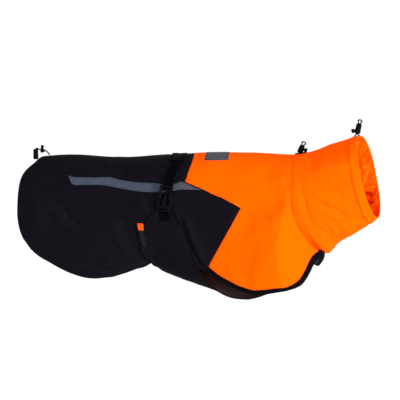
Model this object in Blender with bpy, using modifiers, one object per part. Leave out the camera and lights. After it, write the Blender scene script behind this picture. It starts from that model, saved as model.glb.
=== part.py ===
"""A dog raincoat filled out to its worn form, with nothing inside it.

The frame: +X to the head, +Z up, -Y the near side. The origin is on the underside of the back,
on the spine, half way along the back. Sizes are in millimetres until they are put in a mesh.
"""

import math

import bmesh
import bpy
import numpy as np
from mathutils import Vector

MM = 0.001
CLOTH = 1.5
WEBBING = 1.5
TAPE = 0.8
BINDING_WIDTH = 8.0
BINDING_THICK = 2.4
EDGE_WIDTH = 5.0
SEAM_GAP = 0.5
LAY_GAP = 0.6
WING_GAP = 1.2
STRAP_WIDTH = 20.0
CORD_RADIUS = 1.1
BUCKLE_LIFT = 1.1
STRAP_LIFTS = 0.78
HEM_START = 0.868

NEAR, FAR = 1, -1
ANGLE_SCALE = np.array((1, 95.0))
SIDES = (("near", NEAR), ("far", FAR))

# Body sections: station, spine height, belly height, half width, squareness of the section.
BODY = (
    (-300, -17, -335, 78, 2.2),
    (-250, -4, -335, 83, 2.2),
    (-187, 1, -338, 86, 2.2),
    (-106, -3, -318, 87, 2.2),
    (-80, -3, -290, 87, 2.2),
    (-55, -2, -257, 87, 2.2),
    (-38, -1, -236, 87, 2.2),
    (-20, 0, -226, 87, 2.2),
    (2, 2, -230, 88, 2.2),
    (36, 4, -243, 90, 2.2),
    (96, 7, -261, 93, 2.2),
    (165, 7, -272, 94, 2.2),
    (250, 3, -272, 86, 2.2),
)

# Rear edge of the back panel: x, z, from the tail to the round lower corner.
REAR_EDGE = (
    (-252, -4.5), (-256, -6), (-262, -12), (-272, -19), (-280, -28), (-286, -44), (-290, -67),
    (-291, -93), (-290, -119), (-285, -143), (-278, -160), (-268, -174),
)

# Side hem of the back panel: x, z, from the round corner to the foot of the zigzag seam.
SIDE_HEM = (
    (-268, -174), (-257, -186), (-245, -195), (-225, -206), (-209, -215), (-185, -226), (-161, -233),
    (-138, -235), (-102, -233), (-79, -226), (-56, -219), (-33, -213), (-5, -211), (30, -213),
    (85, -217),
)

# Zigzag seam: x, z, share of the girth from spine to hem. The fourth and fifth rows are its corners.
ZIGZAG = (
    (55, 5.9, 0.0), (54, -5, 0.13), (49, -22, 0.22), (42, -44, 0.30),
    (151, -93, 0.48), (87, -219, 1.0),
)
ZIGZAG_ROWS = (5, 5, 8)

# Neck seam: x, y, z, from the spine to the throat on the near side.
NECK_SEAM = (
    (250, 0, 3), (249, -20, 1), (248, -38, -6), (247, -52, -18), (249, -65, -36), (249, -73, -56),
    (248, -76, -80), (250, -75, -97), (255, -72, -113), (263, -67, -129), (271, -59, -144),
    (284, -43, -164), (303, -12, -186),
)

# Lower edge of the orange panel, outside of its binding: x, y, z, from the zigzag to the throat.
FRONT_HEM = (
    (87, -66, -222), (104, -70, -234), (124, -72, -244), (145, -72, -253), (164, -70, -260),
    (183, -68, -264), (203, -64, -267), (222, -59, -266), (240, -52, -263), (255, -44, -260),
    (267, -36, -254), (277, -30, -244), (285, -25, -231), (292, -20, -216), (300, -16, -205),
    (311, -13, -197),
)

# Rim of the collar: its middle, half its height and half its width, as directions.
RIM_MIDDLE = (400, 0, -39.5)
RIM_UP = (-19, 0, 81.5)
RIM_NEAR = (-16.5, -71, 5)

# Belly panel rows, rear to throat: x and height on the centre line, x and height at the edge,
# half width of the hanging strip, and how much of the row is hanging strip rather than wing.
BELLY = (
    (-25, -223, -9, -97, 84, 0.0),
    (-14, -228, 18, -101, 84, 0.0),
    (-2, -232, 30, -112, 84, 0.0),
    (12, -238, 40, -136, 84, 0.0),
    (26, -242, 50, -163, 84, 0.0),
    (44, -249, 63, -201, 84, 0.0),
    (64, -256, 78, -231, 80, 0.0),
    (88, -265, 98, -254, 68, 0.35),
    (112, -272, 117, -267, 58, 0.85),
    (136, -277, 138, -275, 53, 1.0),
    (160, -279, 160, -278, 50, 1.0),
    (184, -276, 184, -274, 48, 1.0),
    (208, -268, 208, -267, 45, 1.0),
    (232, -257, 232, -256, 40, 1.0),
    (252, -243, 252, -242, 31, 1.0),
    (268, -227, 268, -226, 22, 1.0),
    (282, -210, 282, -209, 13, 1.0),
    (294, -198, 294, -197, 7, 1.0),
)

# Rear edge of the wing: share of the way from belly to wing top, how far it stands back.
WING_BACK = ((0.0, 0), (0.25, 0), (0.45, 10), (0.62, 26), (0.74, 30), (0.86, 30), (0.93, 18), (1.0, 0))

# Reflective tape on the flank: x and z of the upper edge, x and z of the lower edge.
STRIPE = (
    (-191, -36, -184, -50), (-176, -39, -175, -54), (-141, -39, -141, -53), (-110, -38, -112, -54),
    (-92, -42, -96, -57), (-58, -46, -60, -62), (-21, -47, -21, -64), (2, -49, 2, -63),
    (20, -48, 20, -61), (34, -45, 34, -58.5), (50, -51, 50, -59), (62, -56.5, 61, -60),
)

# Girth strap, from the spine down to the buckle: x of its middle, z.
STRAP = ((28, 4), (27, -3), (24, -12), (17, -22), (14, -32), (12, -42), (10, -51))

# Folds: start and end in side view (x, z), half width, height, on the near side and the far side.
FOLDS = (
    (233, -75, 216, -118, 13, 3.0, 2.6),
    (216, -118, 226, -210, 15, 4.2, 3.4),
    (196, -90, 184, -230, 20, -4.2, -3.6),
    (140, -70, 128, -190, 26, 1.6, 2.4),
    (-175, -222, -96, -238, 8, -3.2, -2.4),
    (-120, -150, -70, -222, 16, -2.6, -3.2),
    (-140, -20, -90, -58, 16, -1.0, -0.8),
    (-250, -90, -262, -160, 22, 2.4, 2.0),
)

# Collar rings: share of the way from neck seam to rim, how far the cloth stands out there.
COLLAR_RINGS = (
    (0.0, 0.0), (0.07, 3.4), (0.17, 1.0), (0.28, 4.2), (0.40, 0.6), (0.52, 3.6),
    (0.64, 0.8), (0.76, 2.4), (0.87, 0.0), (1.0, 0.0),
)

COLOURS = {
    "black_shell": (0.013, 0.012, 0.014, 1.0),
    "orange_shell": (1.0, 0.17, 0.0, 1.0),
    "orange_lining": (0.85, 0.11, 0.01, 1.0),
    "black_tape": (0.010, 0.010, 0.012, 1.0),
    "grey_reflective": (0.10, 0.11, 0.13, 1.0),
    "black_plastic": (0.014, 0.014, 0.016, 1.0),
    "orange_ribbon": (0.9, 0.12, 0.01, 1.0),
    "grey_cord": (0.06, 0.06, 0.065, 1.0),
}
GLOSS = {"black_plastic": 0.35, "grey_reflective": 0.4}


def clear_scene():
    for obj in list(bpy.data.objects):
        bpy.data.objects.remove(obj, do_unlink=True)


def collection(name, hidden=False):
    made = bpy.data.collections.new(name)
    bpy.context.scene.collection.children.link(made)
    made.hide_render = hidden
    return made


def material(slot):
    made = bpy.data.materials.get(slot)
    if made is None:
        made = bpy.data.materials.new(slot)
        made.use_nodes = True
        shader = made.node_tree.nodes["Principled BSDF"]
        shader.inputs["Base Color"].default_value = COLOURS[slot]
        shader.inputs["Roughness"].default_value = GLOSS.get(slot, 0.75)
        made.diffuse_color = COLOURS[slot]
    return made


def smooth_step(t):
    t = np.clip(t, 0, 1)
    return t * t * (3 - 2 * t)


def curve(at, xs, ys):
    """A smooth curve through a table, read at any positions along it."""
    xs, ys, at = np.asarray(xs, float), np.asarray(ys, float), np.asarray(at, float)
    steps = np.diff(xs)
    rises = np.diff(ys) / steps
    slope = np.concatenate([rises[:1], (rises[1:] + rises[:-1]) / 2, rises[-1:]])
    turned = np.concatenate([[False], rises[1:] * rises[:-1] <= 0, [False]])
    slope[turned] = 0
    i = np.clip(np.searchsorted(xs, at) - 1, 0, len(steps) - 1)
    h = steps[i]
    t = np.clip((at - xs[i]) / h, 0, 1)
    a = (1 + 2 * t) * (1 - t) ** 2 * ys[i] + t * (1 - t) ** 2 * h * slope[i]
    b = t * t * (3 - 2 * t) * ys[i + 1] + t * t * (t - 1) * h * slope[i + 1]
    return a + b


def path(rows, at, scale=1.0):
    """Points at shares of the length of a smooth line through rows, whose columns are scaled first."""
    rows = np.asarray(rows, float) * scale
    along = np.concatenate([[0], np.cumsum(np.linalg.norm(np.diff(rows, axis=0), axis=1))])
    at = np.asarray(at, float) * along[-1]
    return np.stack([curve(at, along, rows[:, k]) for k in range(rows.shape[1])], axis=-1) / scale


def body_sizes(x):
    table = np.array(BODY, float)
    return [curve(x, table[:, 0], table[:, k]) for k in range(1, 5)]


def body(x, angle, out=0.0):
    """The worn form: a superellipse section at x, the angle turning from the spine to the near side."""
    top, bottom, half, square = body_sizes(x)
    middle, tall = (top + bottom) / 2, (top - bottom) / 2
    c, s = np.cos(angle), np.sin(angle)
    z = middle + tall * np.sign(c) * np.abs(c) ** (2 / square)
    y = -half * np.sign(s) * np.abs(s) ** (2 / square)
    normal_y = -np.sign(s) * np.abs(s) ** (2 - 2 / square) / half
    normal_z = np.sign(c) * np.abs(c) ** (2 - 2 / square) / tall
    size = np.hypot(normal_y, normal_z)
    out = out + fold_height(x, z, s)
    y = y + out * normal_y / size
    z = z + out * normal_z / size
    return np.stack(np.broadcast_arrays(x, y, z), axis=-1)


def body_angle(x, z):
    """The angle of the section at x where its outside is at height z."""
    top, bottom, _, square = body_sizes(x)
    rise = (np.asarray(z, float) - (top + bottom) / 2) / ((top - bottom) / 2)
    rise = np.clip(rise, -1, 1)
    return np.arccos(np.sign(rise) * np.abs(rise) ** (square / 2))


def fold_height(x, z, side):
    """How far the largest folds stand out at a place in side view."""
    total = np.zeros(np.broadcast(x, z, side).shape)
    for x0, z0, x1, z1, width, near, far in FOLDS:
        run = np.array([x1 - x0, z1 - z0], float)
        length = np.hypot(*run)
        t = ((x - x0) * run[0] + (z - z0) * run[1]) / length**2
        away = np.abs((x - x0) * run[1] - (z - z0) * run[0]) / length
        ends = smooth_step((t + 0.25) / 0.5) * smooth_step((1.25 - t) / 0.5)
        height = np.where(side > 0, near, far) * smooth_step(np.abs(side) * 3)
        total = total + height * np.exp(-((away / width) ** 2)) * ends
    return total


def coons(along0, along1, across0, across1):
    """A patch between four edges; along edges run with the first index, across edges with the second."""
    u = np.linspace(0, 1, len(along0))[:, None, None]
    v = np.linspace(0, 1, len(across0))[None, :, None]
    ruled = (1 - v) * along0[:, None] + v * along1[:, None]
    ruled = ruled + (1 - u) * across0[None] + u * across1[None]
    corners = (1 - u) * (1 - v) * along0[0] + u * (1 - v) * along0[-1]
    return ruled - corners - (1 - u) * v * along1[0] - u * v * along1[-1]


def girth_shares():
    """Rows from spine to hem as shares of the girth, with a row on each corner of the zigzag."""
    first, second, third = ZIGZAG_ROWS
    corner, tip = ZIGZAG[3][2], ZIGZAG[4][2]
    return np.concatenate([
        np.linspace(0, corner, first + 1)[:-1],
        np.linspace(corner, tip, second + 1)[:-1],
        np.linspace(tip, 1, third + 1),
    ])


def zigzag_line(shares, shift):
    """x and angle of the seam at shares of the girth."""
    table = np.array(ZIGZAG, float)
    upper = shares < table[3, 2]
    angles = body_angle(table[:, 0], table[:, 1])
    angles[0] = 0
    straight = np.stack([np.interp(shares, table[3:, 2], table[3:, k]) for k in (0, 1)], axis=-1)
    x = np.where(upper, curve(shares, table[:4, 2], table[:4, 0]), straight[:, 0])
    angle = np.where(upper, curve(shares, table[:4, 2], angles[:4]), on_body(straight)[:, 1])
    slant = (shares > table[3, 2] + 0.001) & (shares < table[4, 2] + 0.001)
    x = x + shift * (1 + 2 * np.exp(-(((shares - table[4, 2]) / 0.06) ** 2)))
    return np.stack([x, angle - np.where(slant, 0.008, 0) * np.sign(shift)], axis=-1)


def with_far_side(half):
    """A near half grid with its rows mirrored over the spine."""
    return np.concatenate([half[:, :0:-1] * (1, -1, 1), half], axis=1)


def on_body(rows):
    """Side view rows of x, z as x and angle on the body."""
    rows = np.asarray(rows, float)
    return np.stack([rows[:, 0], body_angle(rows[:, 0], rows[:, 1])], axis=-1)


def mesh_object(name, points, faces, slot, group, smooth=True):
    mesh = bpy.data.meshes.new(name)
    mesh.from_pydata((np.asarray(points).reshape(-1, 3) * MM).tolist(), [], faces)
    mesh.polygons.foreach_set("use_smooth", [smooth] * len(mesh.polygons))
    mesh.materials.append(material(slot))
    obj = bpy.data.objects.new(name, mesh)
    group.objects.link(obj)
    return obj


def grid_faces(rows, columns, closed=False, flip=False):
    last = columns if closed else columns - 1
    faces = []
    for i in range(rows - 1):
        for j in range(last):
            k = (j + 1) % columns
            face = (i * columns + j, i * columns + k, (i + 1) * columns + k, (i + 1) * columns + j)
            faces.append(face[::-1] if flip else face)
    return faces


def shell(name, grid, thick, slot, group, closed=False, flip=False):
    """A sheet of cloth on a grid of outside points, thickened inwards."""
    rows, columns = grid.shape[:2]
    obj = mesh_object(name, grid, grid_faces(rows, columns, closed, flip), slot, group)
    solidify = obj.modifiers.new("thickness", "SOLIDIFY")
    solidify.thickness = thick * MM
    solidify.offset = -1
    return obj


def back_half():
    """The near half of the back panel as x and angle, rear edge to zigzag, spine to hem."""
    shares = girth_shares()
    front = zigzag_line(shares, -SEAM_GAP)
    front[-1] = on_body([SIDE_HEM[-1]])[0]
    rear = path(on_body(REAR_EDGE), shares, ANGLE_SCALE)
    rear[0, 1] = 0
    columns = np.interp(np.linspace(0, 1, 23), (0, 0.36, 0.86, 1), (0, 0.46, 0.86, 1))
    spine = np.stack([rear[0, 0] + (front[0, 0] - rear[0, 0]) * columns, 0 * columns], axis=-1)
    hem = path(on_body(SIDE_HEM), columns, ANGLE_SCALE)
    hem[0], hem[-1] = rear[-1], front[-1]
    return coons(spine, hem, rear, front)


def make_back_panel(group):
    flat = back_half()
    both = np.concatenate([flat[:, :0:-1] * (1, -1), flat], axis=1)
    shell("back_panel", body(both[..., 0], both[..., 1]), CLOTH, "black_shell", group)


def front_half(columns=15):
    """The near half of the orange panel, zigzag to neck seam, spine to hem."""
    shares = girth_shares()
    rear = zigzag_line(shares, SEAM_GAP)
    rear = body(rear[:, 0], rear[:, 1])
    rear[:, 1] = np.minimum(rear[:, 1], 0)
    neck = path(NECK_SEAM, shares) - (0.4, 0, 0) - shares[:, None] ** 3 * (0, 0, 1.5)
    across = np.linspace(0, 1, columns)
    spine_x = rear[0, 0] + (neck[0, 0] - rear[0, 0]) * across
    spine = body(spine_x, 0 * across) * (1, 0, 1)
    spine[-1], spine[0] = neck[0], rear[0]
    hem = path(FRONT_HEM, across)
    rear[-1], neck[-1] = hem[0], hem[-1]
    grid = coons(spine, hem, rear, neck)
    return lift(grid, fold_height(grid[..., 0], grid[..., 2], 1.0) * shoulder(grid))


def shoulder(grid):
    """Fades folds out where the panel is bounded by a seam."""
    u = np.linspace(0, 1, grid.shape[0])[:, None]
    v = np.linspace(0, 1, grid.shape[1])[None]
    return smooth_step(u * 6) * smooth_step((1 - u) * 5) * smooth_step(v * 4)


def lift(grid, out):
    """Grid points moved out along the surface normal."""
    du = np.gradient(grid, axis=0)
    dv = np.gradient(grid, axis=1)
    normal = np.cross(dv, du)
    normal[:, 0, 1] = 0 if grid[0, 0, 1] == 0 else normal[:, 0, 1]
    normal /= np.linalg.norm(normal, axis=-1, keepdims=True)
    return grid + normal * np.asarray(out)[..., None]


def inner_share(grid, width):
    """The share of each column's length that lies more than width from its end."""
    length = np.linalg.norm(np.diff(grid, axis=1), axis=2).sum(1)
    return 1 - width / length


def cut_columns(grid, start, end, count):
    """Each column read again from share start to share end of its length."""
    out = np.empty((grid.shape[0], count, 3))
    for i, column in enumerate(grid):
        along = np.concatenate([[0], np.cumsum(np.linalg.norm(np.diff(column, axis=0), axis=1))])
        at = np.linspace(start[i], end[i], count) * along[-1]
        out[i] = np.stack([np.interp(at, along, column[:, k]) for k in range(3)], axis=-1)
    return out


def shorten_columns(grid, end):
    """Each column drawn back to end at a share of its length, its upper half left where it can be."""
    out = grid.copy()
    for i, column in enumerate(grid):
        along = np.concatenate([[0], np.cumsum(np.linalg.norm(np.diff(column, axis=0), axis=1))])
        share = along / along[-1]
        pivot = min(0.5, 0.9 * end[i])
        at = np.interp(share, (0, 0.5, 1), (0, pivot, end[i])) * along[-1]
        out[i] = np.stack([np.interp(at, along, column[:, k]) for k in range(3)], axis=-1)
    return out


def make_front_panel(group):
    half = front_half()
    panel = shorten_columns(half, inner_share(half, BINDING_WIDTH + 0.8))
    shell("front_panel", with_far_side(panel), CLOTH, "orange_shell", group)
    fine = front_half(29)
    tape = cut_columns(fine, inner_share(fine, BINDING_WIDTH - SEAM_GAP), np.ones(len(fine)), 3)
    tape = lift(tape, np.full(tape.shape[:2], 0.5))
    shell("hem_binding_near", tape, BINDING_THICK, "black_tape", group)
    shell("hem_binding_far", tape * (1, -1, 1), BINDING_THICK, "black_tape", group, flip=True)


def collar_grid(shares, columns, out=0.0):
    """Rings from the neck seam to the rim; the columns start at the spine and turn to the near side."""
    turn = np.linspace(0, 2 * math.pi, columns, endpoint=False)
    way = np.abs((turn + math.pi) % (2 * math.pi) - math.pi) / math.pi
    base = path(NECK_SEAM, way)
    base[:, 1] = np.where(turn > math.pi, -base[:, 1], base[:, 1])
    bottom = np.isclose(way, 1)
    base[bottom, 1] = 0
    rim = (np.array(RIM_MIDDLE) + np.cos(turn)[:, None] * np.array(RIM_UP)
           + np.sin(turn)[:, None] * np.array(RIM_NEAR))
    k = np.asarray(shares, float)[:, None, None]
    rings = base * (1 - k) + rim * k
    under = np.clip(-np.cos(turn), 0, 1) ** 2
    over = np.clip(np.cos(turn), 0, 1) ** 2
    share = k[..., 0]
    rings[..., 2] -= 9 * np.exp(-(((share - 0.12) / 0.12) ** 2)) * under * smooth_step(share * 16)
    rings[..., 2] -= 4 * np.sin(math.pi * share) * under
    rings[..., 2] -= 5 * np.sin(math.pi * np.clip(share * 1.4, 0, 1)) * over
    table = np.array(COLLAR_RINGS)
    wave = curve(np.clip(share + 0.05 * np.cos(turn - 0.6) * np.sin(math.pi * share), 0, 1),
                 table[:, 0], table[:, 1])
    depth = (0.45 + 0.55 * np.abs(np.sin(turn + 0.35)) ** 1.5) * (1 - 0.75 * over)
    middle = rings.mean(axis=1, keepdims=True)
    away = rings - middle
    away /= np.linalg.norm(away, axis=-1, keepdims=True)
    return rings + away * (wave * depth + out)[..., None]


def make_collar(group):
    rings = np.linspace(0.006, HEM_START, 14)
    outer = collar_grid(rings, 36)
    shell("collar", outer, CLOTH, "orange_shell", group, closed=True, flip=True)
    out = np.array([[0], [0.9], [1.2], [0.8], [0]])
    hem = collar_grid((HEM_START + 0.005, 0.90, 0.95, 0.985, 1.0), 36, out)
    shell("collar_hem", hem, 3.0, "orange_shell", group, closed=True, flip=True)
    depth = np.array([-2.4] * 8 + [-3.8, -3.8])[:, None]
    lining = collar_grid((*rings[5:13], 0.88, 0.97), 36, depth)
    shell("collar_lining", lining, 1.2, "orange_lining", group, closed=True, flip=True)


def belly_grid(rows, columns):
    """The belly panel from its rear edge to the throat, far edge to near edge."""
    table = np.array(BELLY, float)
    u = np.linspace(0, 1, len(table))
    at = np.linspace(0, 1, rows)
    x_mid, z_mid, x_edge, z_edge, half, hang = (
        curve(at, u, table[:, k])[:, None] for k in range(6)
    )
    s = np.linspace(-1, 1, columns)[None]
    side = np.abs(s)
    back = np.array(WING_BACK, float)
    stand_back = np.interp(side, back[:, 0], back[:, 1]) * (1 - smooth_step(at * 6))[:, None]
    x = x_mid + (x_edge - x_mid) * side**1.6 - stand_back
    edge = body_angle(x_edge, np.maximum(z_edge, body_sizes(x_edge)[1] + 4))
    angle = (math.pi - (math.pi - edge) * side) * np.sign(s + 1e-9)
    slack = 0.8 * smooth_step((0.6 - side) / 0.2) * (1 - smooth_step(at * 5 - 0.6))[:, None]
    wing = body(x, angle, WING_GAP + CLOTH + slack)
    strip = np.stack([x, -half * s, z_mid + (z_edge - z_mid) * side**2.2], axis=-1)
    return wing + (strip - wing) * hang[..., None]


def make_belly_panel(group):
    near = belly_grid(23, 33)[:, 16:]
    middle, edge_end = np.zeros(len(near)), np.ones(len(near))
    panel = cut_columns(near, middle, inner_share(near, EDGE_WIDTH + 0.3), near.shape[1])
    far = panel[:, :0:-1] * (1, -1, 1)
    shell("belly_panel", np.concatenate([far, panel], axis=1), CLOTH, "black_shell", group, flip=True)
    edge = cut_columns(near, inner_share(near, EDGE_WIDTH - 0.3), edge_end, 2)[1:]
    shell("belly_binding_near", edge, CLOTH, "black_tape", group, flip=True)
    shell("belly_binding_far", edge * (1, -1, 1), CLOTH, "black_tape", group)


def make_stripes(group):
    rows = path(STRIPE, np.linspace(0, 1, 27))
    x = np.stack([rows[:, 0], (rows[:, 0] + rows[:, 2]) / 2, rows[:, 2]], axis=1)
    z = np.stack([rows[:, 1], (rows[:, 1] + rows[:, 3]) / 2, rows[:, 3]], axis=1)
    for name, side in SIDES:
        grid = body(x, body_angle(x, z) * side, LAY_GAP + TAPE)
        shell(f"stripe_{name}", grid, TAPE, "grey_reflective", group, flip=side == FAR)


def make_strap(group):
    rows = np.array(STRAP, float)
    near = np.stack([rows[:, 0], body_angle(rows[:, 0], rows[:, 1])], axis=-1)
    near[0, 1] = 0
    near = path(near, np.linspace(0, 1, 15), ANGLE_SCALE)
    line = np.concatenate([near[:0:-1] * (1, -1), near])
    x = line[:, :1] + np.array([[-0.5, 0, 0.5]]) * STRAP_WIDTH
    angle = line[:, 1:] + 0 * x
    low = smooth_step((np.abs(angle) - STRAP_LIFTS) / 0.12)
    grid = body(x, angle, LAY_GAP + WEBBING + low * 3.4)
    shell("girth_strap", grid, WEBBING, "black_tape", group, flip=True)
    for name, side in SIDES:
        turn = np.linspace(0.16, 0.42, 5)[:, None] * side
        across = 21 + np.array([[-13, 0, 13]]) - 6 * np.abs(turn)
        keeper = body(across, turn + 0 * across, LAY_GAP + WEBBING + 0.6 + 1.2)
        shell(f"strap_keeper_{name}", keeper, 1.2, "black_tape", group, flip=side == NEAR)


def buckle_frame(side):
    """Origin and axes of the buckle on the flank: forwards, up and out."""
    angle = body_angle(4.0, -76.0) * side
    here = Vector(body(4.0, angle, BUCKLE_LIFT))
    up = Vector(body(4.0, angle - 0.06 * side) - body(4.0, angle + 0.06 * side)).normalized()
    forward = Vector(body(16.0, angle) - body(-8.0, angle)).normalized()
    out = forward.cross(up).normalized()
    up = out.cross(forward)
    return (here, forward, up, out) if side == NEAR else (here, forward, up, -out)


def prism(name, outline, low, high, frame, slot, group):
    """A flat outline in the forward and up directions, given a thickness outwards."""
    origin, forward, up, out = frame
    made = bmesh.new()
    base = [made.verts.new((origin + forward * a + up * b + out * low) * MM) for a, b in outline]
    face = made.faces.new(base)
    grown = bmesh.ops.extrude_face_region(made, geom=[face])
    raised = [g for g in grown["geom"] if isinstance(g, bmesh.types.BMVert)]
    bmesh.ops.translate(made, verts=raised, vec=out * (high - low) * MM)
    bmesh.ops.recalc_face_normals(made, faces=made.faces)
    mesh = bpy.data.meshes.new(name)
    made.to_mesh(mesh)
    made.free()
    obj = bpy.data.objects.new(name, mesh)
    if slot:
        mesh.materials.append(material(slot))
    group.objects.link(obj)
    return obj


def cut_slot(obj, name, box, frame, cutters):
    a0, a1, b0, b1 = box
    cutter = prism(name, ((a0, b0), (a1, b0), (a1, b1), (a0, b1)), -4, 14, frame, None, cutters)
    cutter.hide_render = True
    cutter.display_type = "WIRE"
    cut = obj.modifiers.new("slot", "BOOLEAN")
    cut.operation = "DIFFERENCE"
    cut.solver = "EXACT"
    cut.object = cutter


def make_buckles(group, cutters):
    socket = ((-12, 26), (12, 26), (14.5, 23), (14.5, 2.5), (13.5, -1.7), (8.5, -1.7), (8.5, 9),
              (-8.5, 9), (-8.5, -1.7), (-13.5, -1.7), (-14.5, 2.5), (-14.5, 23))
    right = ((14, -23), (14, -14), (16.5, -6), (14.5, -2), (11.5, -2), (10.5, -8), (9, -16), (3, -18),
             (2.6, 8))
    left = tuple((-a, b) for a, b in right[::-1])
    plug = ((-13, -26), (13, -26), *right, *left)
    for name, side in SIDES:
        frame = buckle_frame(side)
        female = prism(f"buckle_socket_{name}", socket, 0, 7, frame, "black_plastic", group)
        cut_slot(female, f"cut_web_{name}", (-10.5, 10.5, 19.5, 22.5), frame, cutters)
        cut_slot(female, f"cut_bar_{name}", (-10.5, 10.5, 12.5, 15.5), frame, cutters)
        male = prism(f"buckle_plug_{name}", plug, 0.2, 5.4, frame, "black_plastic", group)
        cut_slot(male, f"cut_tab_{name}", (-10, 10, -23.4, -20.6), frame, cutters)


def make_wing_tabs(group):
    for name, side in SIDES:
        x = 5.0 + np.array([[-11, 0, 11]]) + np.zeros((4, 3))
        z = np.linspace(-105, -117, 4)[:, None] + 0 * x
        grid = body(x, body_angle(x, z) * side, WING_GAP + CLOTH + 0.5 + WEBBING)
        shell(f"wing_tab_{name}", grid, WEBBING, "black_tape", group, flip=side == NEAR)


def make_label(group):
    z = np.array([-124, -130, -137, -144, -152, -160, -168, -174], float)[:, None]
    middle = np.array([-45, -45.5, -45.5, -45, -43.5, -42, -40, -38], float)[:, None]
    x = middle + np.array([[-4.5, 0, 4.5]])
    grid = body(x, body_angle(x, z + 0 * x), WING_GAP + CLOTH + 0.7 + 1.0)
    shell("wing_label", grid, 1.0, "orange_ribbon", group, flip=True)


def make_spine_patch(group):
    half = front_half(29)
    rows = with_far_side(half)[3:11]
    middle = rows.shape[1] // 2
    grid = lift(rows[:, middle - 2:middle + 3], np.full((8, 5), LAY_GAP + TAPE))
    shell("spine_patch", grid, TAPE, "grey_reflective", group)


def make_throat_tab(group):
    """A folded tape: a flat loop hanging from the throat."""
    turn = np.linspace(0, 2 * math.pi, 16, endpoint=False)
    wide = 7.5 * (0.6 - 0.4 * np.cos(turn))
    along = 14 * np.cos(turn)
    x = 310 + wide * np.sin(turn) + 0.1 * along
    z = -208.7 + along
    ring = np.stack([x, 0 * x, z], axis=-1)
    grid = ring[None] + np.array([[[0, -5.5, 0]], [[0, 0, 0]], [[0, 5.5, 0]]])
    shell("throat_tab", grid, 1.4, "black_tape", group, closed=True, flip=True)


def tube(name, line, radius, slot, group):
    """A cord as a round tube along a line."""
    data = bpy.data.curves.new(name, "CURVE")
    data.dimensions = "3D"
    data.bevel_depth = radius * MM
    data.bevel_resolution = 2
    data.use_fill_caps = True
    spline = data.splines.new("POLY")
    spline.points.add(len(line) - 1)
    for point, place in zip(spline.points, line):
        point.co = (*(Vector(place) * MM), 1)
    data.materials.append(material(slot))
    obj = bpy.data.objects.new(name, data)
    group.objects.link(obj)
    return obj


def turned(name, profile, start, end, slot, group, sides=14):
    """A solid of revolution: its profile gives share of the axis and radius, round a closed loop."""
    start, end = np.array(start, float), np.array(end, float)
    axis = end - start
    length = np.linalg.norm(axis)
    axis /= length
    side = np.cross(axis, (0, 1, 0))
    side /= np.linalg.norm(side)
    other = np.cross(axis, side)
    turn = np.linspace(0, 2 * math.pi, sides, endpoint=False)
    ring = np.cos(turn)[:, None] * side + np.sin(turn)[:, None] * other
    grid = np.array([start + axis * length * t + ring * r for t, r in profile])
    faces = grid_faces(len(profile), sides, closed=True)
    if profile[0] == profile[-1]:
        grid = grid[:-1]
        wrap = (len(profile) - 1) * sides
        faces = [tuple(i % wrap for i in face) for face in faces]
    else:
        faces.append(tuple(range(sides))[::-1])
        faces.append(tuple((len(profile) - 1) * sides + i for i in range(sides)))
    obj = mesh_object(name, grid, faces, slot, group)
    made = bmesh.new()
    made.from_mesh(obj.data)
    bmesh.ops.recalc_face_normals(made, faces=made.faces)
    made.to_mesh(obj.data)
    made.free()
    return obj


def arc(rows, count):
    return path(rows, np.linspace(0, 1, count))


def make_tail_cord(group):
    cord = ((-238, 0, -1.3), (-244, 0, 3.2), (-249, 0, 7), (-253, 0, 8.5), (-258, 0, 9.5), (-262, 0, 12),
            (-265, 0, 12.6), (-266.4, 0, 9.5), (-266.4, 0, 4))
    tube("tail_cord", arc(cord, 16), CORD_RADIUS, "grey_cord", group)
    hollow = ((0, 3.6), (0.5, 2.9), (1, 3.6), (1, 1.6), (0, 1.6), (0, 3.6))
    turned("tail_lock", hollow, (-250.6, 0, 7.9), (-256.4, 0, 9.4), "black_plastic", group)
    wings = ((0, 2.2), (0.25, 3.2), (0.75, 3.2), (1, 2.4))
    turned("tail_lock_top", wings, (-253.4, 0, 12.9), (-252.2, 0, 17.4), "black_plastic", group, 12)
    bell = ((0, 1.7), (0, 4.0), (0.15, 5.0), (0.85, 5.2), (1, 4.2), (1, 0.4), (0.5, 0.4),
            (0.45, 1.7), (0, 1.7))
    turned("tail_cord_end", bell, (-266.4, 0, 10.4), (-266.4, 0, -10.5), "black_plastic", group)


def make_lock(label, start, end, button_from, button_to, cord, group):
    """A cord lock round two runs of its cord, with the button at its side."""
    tube(f"{label}_cord", arc(cord, 27), CORD_RADIUS, "grey_cord", group)
    barrel = ((0, 3.5), (0, 4.4), (0.12, 5.1), (0.88, 5.1), (1, 4.4), (1, 3.5), (0, 3.5))
    turned(f"{label}_lock", barrel, start, end, "black_plastic", group)
    stud = ((0, 2.0), (0.45, 2.0), (0.5, 3.2), (0.88, 3.2), (1, 2.4))
    turned(f"{label}_button", stud, button_from, button_to, "black_plastic", group, 12)


def lock_cord(start, end, leg_a, leg_b, loop):
    """A cord up through a lock, round its loop and down again; all in the middle plane."""
    start, end = np.array(start, float), np.array(end, float)
    axis = (end - start) / np.linalg.norm(end - start)
    side = np.array([-axis[2], 0, axis[0]])
    if side[0] > 0:
        side = -side
    apart = CORD_RADIUS + 0.35
    rise = [start - axis * 2.6 + side * apart, start + axis * 3 + side * apart, end + side * apart,
            end + axis * 2 + side * (apart + 0.8)]
    fall = [p - 2 * side * (np.dot(p - start, side)) for p in rise[::-1]]
    bend = end + axis * loop * 0.75
    top = [bend + side * 4.0, end + axis * (loop + 0.6), bend - side * 4.0]
    return np.array([leg_a, *rise, *top, *fall, leg_b], float)


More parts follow.
